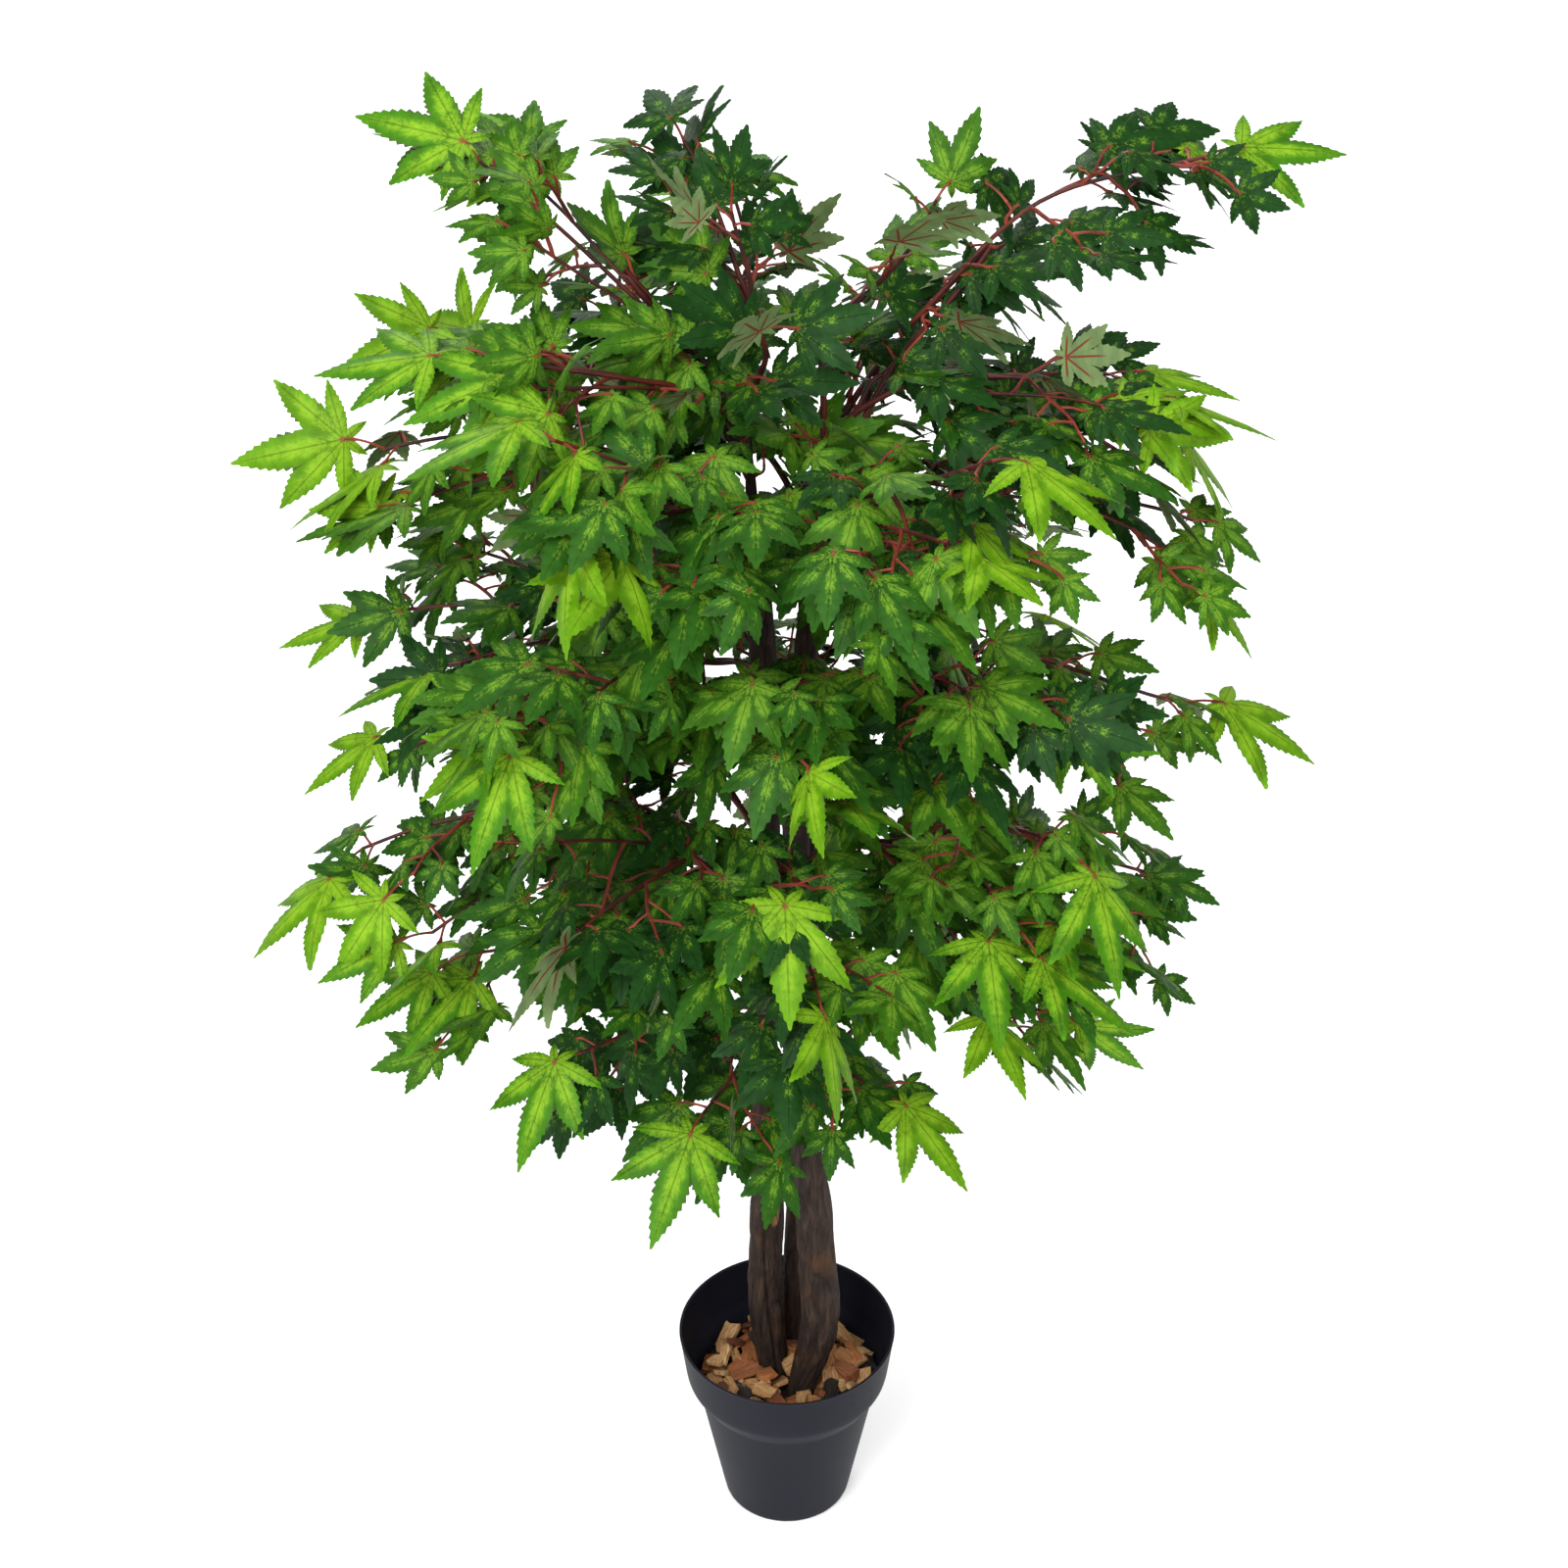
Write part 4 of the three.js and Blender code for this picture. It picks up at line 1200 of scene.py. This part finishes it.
class MAPLE_OT_stems(bpy.types.Operator):
    """Clothe the three stems in furrowed bark, with knots, a long crease and a patch of bare wood"""

    bl_idname = "maple.stems"
    bl_label = "Stems"

    # Each knot: height in metres, side it faces in degrees, half height in metres, half width in radians,
    # and swell in millimetres. The first of the left stem is a hollow scar, where the wood is bare.
    knots = {
        "stem_left": ((0.292, -62, 0.024, 0.50, -0.7), (0.215, -150, 0.012, 0.4, 1.6),
                      (0.52, -80, 0.012, 0.4, 1.5)),
        "stem_right": ((0.214, -120, 0.010, 0.34, 2.2), (0.232, -60, 0.012, 0.4, 1.8),
                       (0.450, -75, 0.010, 0.42, -2.2), (0.300, -150, 0.014, 0.4, 1.3)),
        "stem_back": ((0.30, -90, 0.012, 0.5, 1.0),),
    }
    scarred = "stem_left"

    # How thick the bark is drawn against the frame's radius, and how far the stem swings to the right at
    # its bend.
    slim = {"stem_left": 0.92, "stem_right": 0.85, "stem_back": 0.95}
    sway = {"stem_left": -1.5 * MM, "stem_right": 5.0 * MM, "stem_back": 0.0}
    bend_height = 0.185
    bend_reach = 0.055

    rings = 260
    sides = 80

    def execute(self, context):
        finish = bark_finish("dry_bark", colours())
        for number, name in enumerate(STEM_NODES):
            points, faces, bare, hollow = self.skin(name, np.random.default_rng(40 + number))
            piece = build(f"{name}_bark", points, faces, traits=[("bare", bare), ("hollow", hollow)])
            settle(piece, finish, "bark", [name])
        return {"FINISHED"}

    def spine(self, name):
        """Even heights up a stem, and its middles and radii there, smoothed over 15 heights. The radius is
        the frame's, slimmed, and thins out towards the top."""
        levels, middle, radius = stem_line(name)
        height = np.linspace(levels[0], levels[-1], self.rings)
        centre = np.stack([np.interp(height, levels, middle[:, axis]) for axis in range(3)], axis=1)
        half = 7
        smooth = np.ones(2 * half + 1) / (2 * half + 1)
        padded = np.pad(centre[:, :2], ((half, half), (0, 0)), mode="edge")
        centre[:, :2] = np.stack([np.convolve(padded[:, axis], smooth, "valid") for axis in range(2)], axis=1)
        girth = np.convolve(np.pad(np.interp(height, levels, radius), half, mode="edge"), smooth, "valid")
        girth = girth * (1.0 - 0.72 * ease(height, levels[-1] - 190 * MM, levels[-1])) * self.slim[name]
        centre[:, 0] += self.sway[name] * np.exp(-((height - self.bend_height) / self.bend_reach) ** 2)
        return height, centre, girth

    def skin(self, name, rng):
        """Rings up the stem: its radius with two slow swells round it, less furrows and cracks, which are
        narrow valleys of drawn-out noise, plus knots, each a bell in height and turn."""
        height, centre, girth = self.spine(name)
        shape = (self.rings, self.sides)
        turn = np.broadcast_to(2 * math.pi * np.arange(self.sides) / self.sides, shape)
        rise = np.broadcast_to(height[:, None], shape) - height[0]
        warp = 0.9 * (lattice(rng, 4, 20, turn, rise / 0.06) - 0.5)
        slow = lattice(rng, 3, 20, turn, rise / 0.075) - 0.5
        valleys = lattice(rng, 13, 40, turn + warp, rise / 0.034)
        small = lattice(rng, 30, 60, turn + warp, rise / 0.016)
        furrow = (1.0 - np.abs(2 * valleys - 1)) ** 5
        cracks = (1.0 - np.abs(2 * small - 1)) ** 4
        bare = np.zeros_like(rise)
        # Painted shade: the sunken furrows, cracks and crease, kept so that the bark's colour is darkened
        # there.
        hollow = 0.55 * furrow + 0.25 * cracks
        swell = 0.0
        for place, face, tall, wide, out in self.knots[name]:
            bell = np.exp(-((height[:, None] - place) / tall) ** 2 - (self.past(turn, face) / wide) ** 2)
            swell = swell + out * MM * bell
            if name == self.scarred and out < 0:
                bare = ease(bell + 0.25 * (valleys - 0.5), 0.42, 0.52)
        if name == self.scarred:
            crease = (self.past(turn, -88) - 0.25 * np.sin(rise * 30)) / 0.11
            seam = np.exp(-crease ** 2) * (1 - ease(rise, 0.15, 0.2))
            swell = swell - 2.6 * MM * seam
            hollow = np.maximum(hollow, seam)
        depth = np.clip(girth[:, None] / (14 * MM), 0.4, 1.2) * MM
        out = girth[:, None] * (1 + 0.16 * slow) + swell
        out = out - (1 - 0.8 * bare) * depth * (1.7 * furrow + 0.6 * cracks - 0.5)
        ring = np.stack([np.cos(turn), np.sin(turn), np.zeros_like(turn)], axis=-1)
        rings = centre[:, None] + out[..., None] * ring
        top = centre[-1] + UP * 2 * MM
        points, faces = skins(rings[None], centre[:1], top[None])
        ends = [0.0, 0.0]
        return points, faces, np.append(bare.ravel(), ends), np.append(hollow.ravel(), ends)

    def past(self, turn, face):
        """How far a turn is past the side that is faced, from minus half a turn to half a turn."""
        return (turn - math.radians(face) + math.pi) % (2 * math.pi) - math.pi


class MAPLE_OT_sprays(bpy.types.Operator):
    """Draw the boughs, side twigs and leaf stalks as closed tapering tubes"""

    bl_idname = "maple.sprays"
    bl_label = "Boughs and twigs"

    def execute(self, context):
        plan = crown_plan()
        shades = colours()
        rows = (
            ("boughs", plan.boughs, 9, shades.bough, tint(shades.twig, 0.42), "bough", BOUGH_NODES),
            ("twigs", plan.twigs, 6, tint(shades.twig, 0.7), shades.twig, "bough", ()),
            ("leaf_stalks", plan.stalks, 5, shades.twig, tint(shades.twig, 1.25), "bough", ()),
        )
        for name, lines, sides, colour, shift, slot, nodes in rows:
            path = np.stack([line for line, _ in lines])
            radii = np.stack([radius for _, radius in lines])
            points, faces = tubes(path, radii, sides)
            piece = build(name, points, faces)
            settle(piece, twig_finish(f"{name}_plastic", colour, shift), slot, nodes)
        return {"FINISHED"}


class MAPLE_OT_leaves(bpy.types.Operator):
    """Set a cut leaf at every stalk, gathered into one piece for each tone"""

    bl_idname = "maple.leaves"
    bl_label = "Leaves"

    def execute(self, context):
        plan = crown_plan()
        shades = colours()
        rng = np.random.default_rng(23)
        cuts = {True: LeafCut(steps=3, teeth=6, breadth=0.96), False: LeafCut(steps=2, teeth=6, breadth=1.25)}
        models = {large: np.stack([cut.points(rng) for _ in range(CUTS)]) for large, cut in cuts.items()}
        for number, tone in enumerate(TONES):
            large = number in LARGE_TONES
            chosen = [leaf for leaf in plan.leaves if leaf["large"] == large and leaf["tone"] == number]
            cut = cuts[large]
            model = models[large][[leaf["cut"] for leaf in chosen]]
            size = np.array([leaf["size"] for leaf in chosen])[:, None, None]
            axes = np.stack([leaf["axes"] for leaf in chosen])
            heart = np.stack([leaf["heart"] for leaf in chosen])[:, None]
            points = heart + size * np.einsum("npa,nax->npx", model, axes)
            base = (cut.count * np.arange(len(chosen)))[:, None, None]
            faces = [(face[None] + base).reshape(-1, face.shape[1]) for face in cut.faces]
            maps = [(label, [np.tile(part, (len(chosen), 1, 1)) for part in parts])
                    for label, parts in ((BAKED_UV, cut.sheets()), (VEIN_UV, cut.veins))]
            piece = build(f"leaves_{tone}", points.reshape(-1, 3), faces, maps=maps)
            nodes = sorted({MASS_NODES[leaf["mass"]] for leaf in chosen})
            settle(piece, self.finish(tone, large, shades), "leaves", nodes)
        return {"FINISHED"}

    def finish(self, tone, large, shades):
        """The printed fabric of a tone: bright leaves have yellow flecks and dark ribs."""
        ground = getattr(shades, tone)
        flecks = {"deep": (0.82, 1.10), "mid": (0.70, 1.00), "soft": (0.58, 0.95)}.get(tone, (0.45, 1.05))
        light = shades.glow if large else shades.fleck
        return leaf_finish(f"leaf_{tone}", ground, light, shades, tint(ground, 0.5), flecks)


class MAPLE_OT_stage(bpy.types.Operator):
    """Set the pale floor, the soft lights and the camera"""

    bl_idname = "maple.stage"
    bl_label = "Stage"

    floor_half = 30.0  # half the side of the floor, in metres

    # Each light: name, place, size in metres, power in watts.
    lights = (
        ("key", (-1.1, -2.3, 2.9), 1.4, 54.0),
        ("fill", (1.7, -1.7, 2.2), 1.8, 16.0),
        ("behind", (-0.5, 2.3, 2.3), 1.8, 30.0),
    )

    def execute(self, context):
        stage = context.scene.maple_stage
        corners = np.array([[-1.0, -1.0, 0.0], [1.0, -1.0, 0.0], [1.0, 1.0, 0.0], [-1.0, 1.0, 0.0]])
        floor = build("floor", self.floor_half * corners, [np.array([[0, 1, 2, 3]])])
        paint = Paint("pale_floor")
        white = (1.0, 1.0, 1.0, 1.0)
        floor.data.materials.append(paint.finish(
            Base_Color=(*stage.floor, 1.0), Roughness=0.9, Emission_Color=white, Emission_Strength=0.22))
        for name, place, size, power in self.lights:
            light = bpy.data.lights.new(name, "AREA")
            light.shape = "DISK"
            light.size = size
            light.energy = power
            self.hang(name, light, place)
        sky = bpy.data.lights.new("soft_sky", "SUN")
        sky.energy = 3.1
        sky.angle = math.radians(100)
        self.hang("soft_sky", sky, (-0.35, -1.3, 2.6))
        world = bpy.data.worlds.new("soft_room")
        world.use_nodes = True
        backdrop = world.node_tree.nodes["Background"]
        backdrop.inputs["Color"].default_value = (1.0, 1.0, 1.0, 1.0)
        backdrop.inputs["Strength"].default_value = 0.20
        context.scene.world = world
        camera = bpy.data.objects.new("camera", bpy.data.cameras.new("camera"))
        camera.data.sensor_width = 36.0
        camera.data.lens = stage.lens
        camera.data.shift_x = -0.0019
        camera.location = stage.camera
        camera.rotation_euler = (math.pi / 2 - stage.pitch, 0.0, 0.0)
        context.scene.collection.objects.link(camera)
        context.scene.camera = camera
        context.scene.view_settings.view_transform = "Standard"
        return {"FINISHED"}

    def hang(self, name, light, place):
        """Puts a light at a place, facing the middle of the tree."""
        lamp = bpy.data.objects.new(name, light)
        lamp.location = place
        lamp.rotation_euler = (Vector((0.0, 0.0, 0.6)) - Vector(place)).to_track_quat("-Z", "Y").to_euler()
        bpy.context.scene.collection.objects.link(lamp)


OPERATORS = (MAPLE_OT_stage, MAPLE_OT_pot, MAPLE_OT_chips, MAPLE_OT_stems, MAPLE_OT_sprays, MAPLE_OT_leaves)
SETTINGS = {
    "maple_crown": MapleCrownSettings,
    "maple_colours": MapleColourSettings,
    "maple_pot": MaplePotSettings,
    "maple_stage": MapleStageSettings,
}


class MAPLE_PT_panel(bpy.types.Panel):
    """The pieces of the maple and their settings"""

    bl_label = "Potted Maple"
    bl_idname = "MAPLE_PT_panel"
    bl_space_type = "VIEW_3D"
    bl_region_type = "UI"
    bl_category = "Maple"

    def draw(self, context):
        for group, kind in SETTINGS.items():
            box = self.layout.box()
            for key in kind.__annotations__:
                box.prop(getattr(context.scene, group), key)
        for operator in OPERATORS:
            self.layout.operator(operator.bl_idname)


def register():
    for kind in (*SETTINGS.values(), *OPERATORS, MAPLE_PT_panel):
        bpy.utils.register_class(kind)
    for group, kind in SETTINGS.items():
        setattr(bpy.types.Scene, group, PointerProperty(type=kind))


def unregister():
    for group in SETTINGS:
        delattr(bpy.types.Scene, group)
    for kind in reversed((*SETTINGS.values(), *OPERATORS, MAPLE_PT_panel)):
        bpy.utils.unregister_class(kind)


def main():
    """Makes every piece."""
    register()
    bpy.ops.maple.stage()
    bpy.ops.maple.pot()
    bpy.ops.maple.chips()
    bpy.ops.maple.stems()
    bpy.ops.maple.sprays()
    bpy.ops.maple.leaves()


if __name__ == "__main__":
    main()
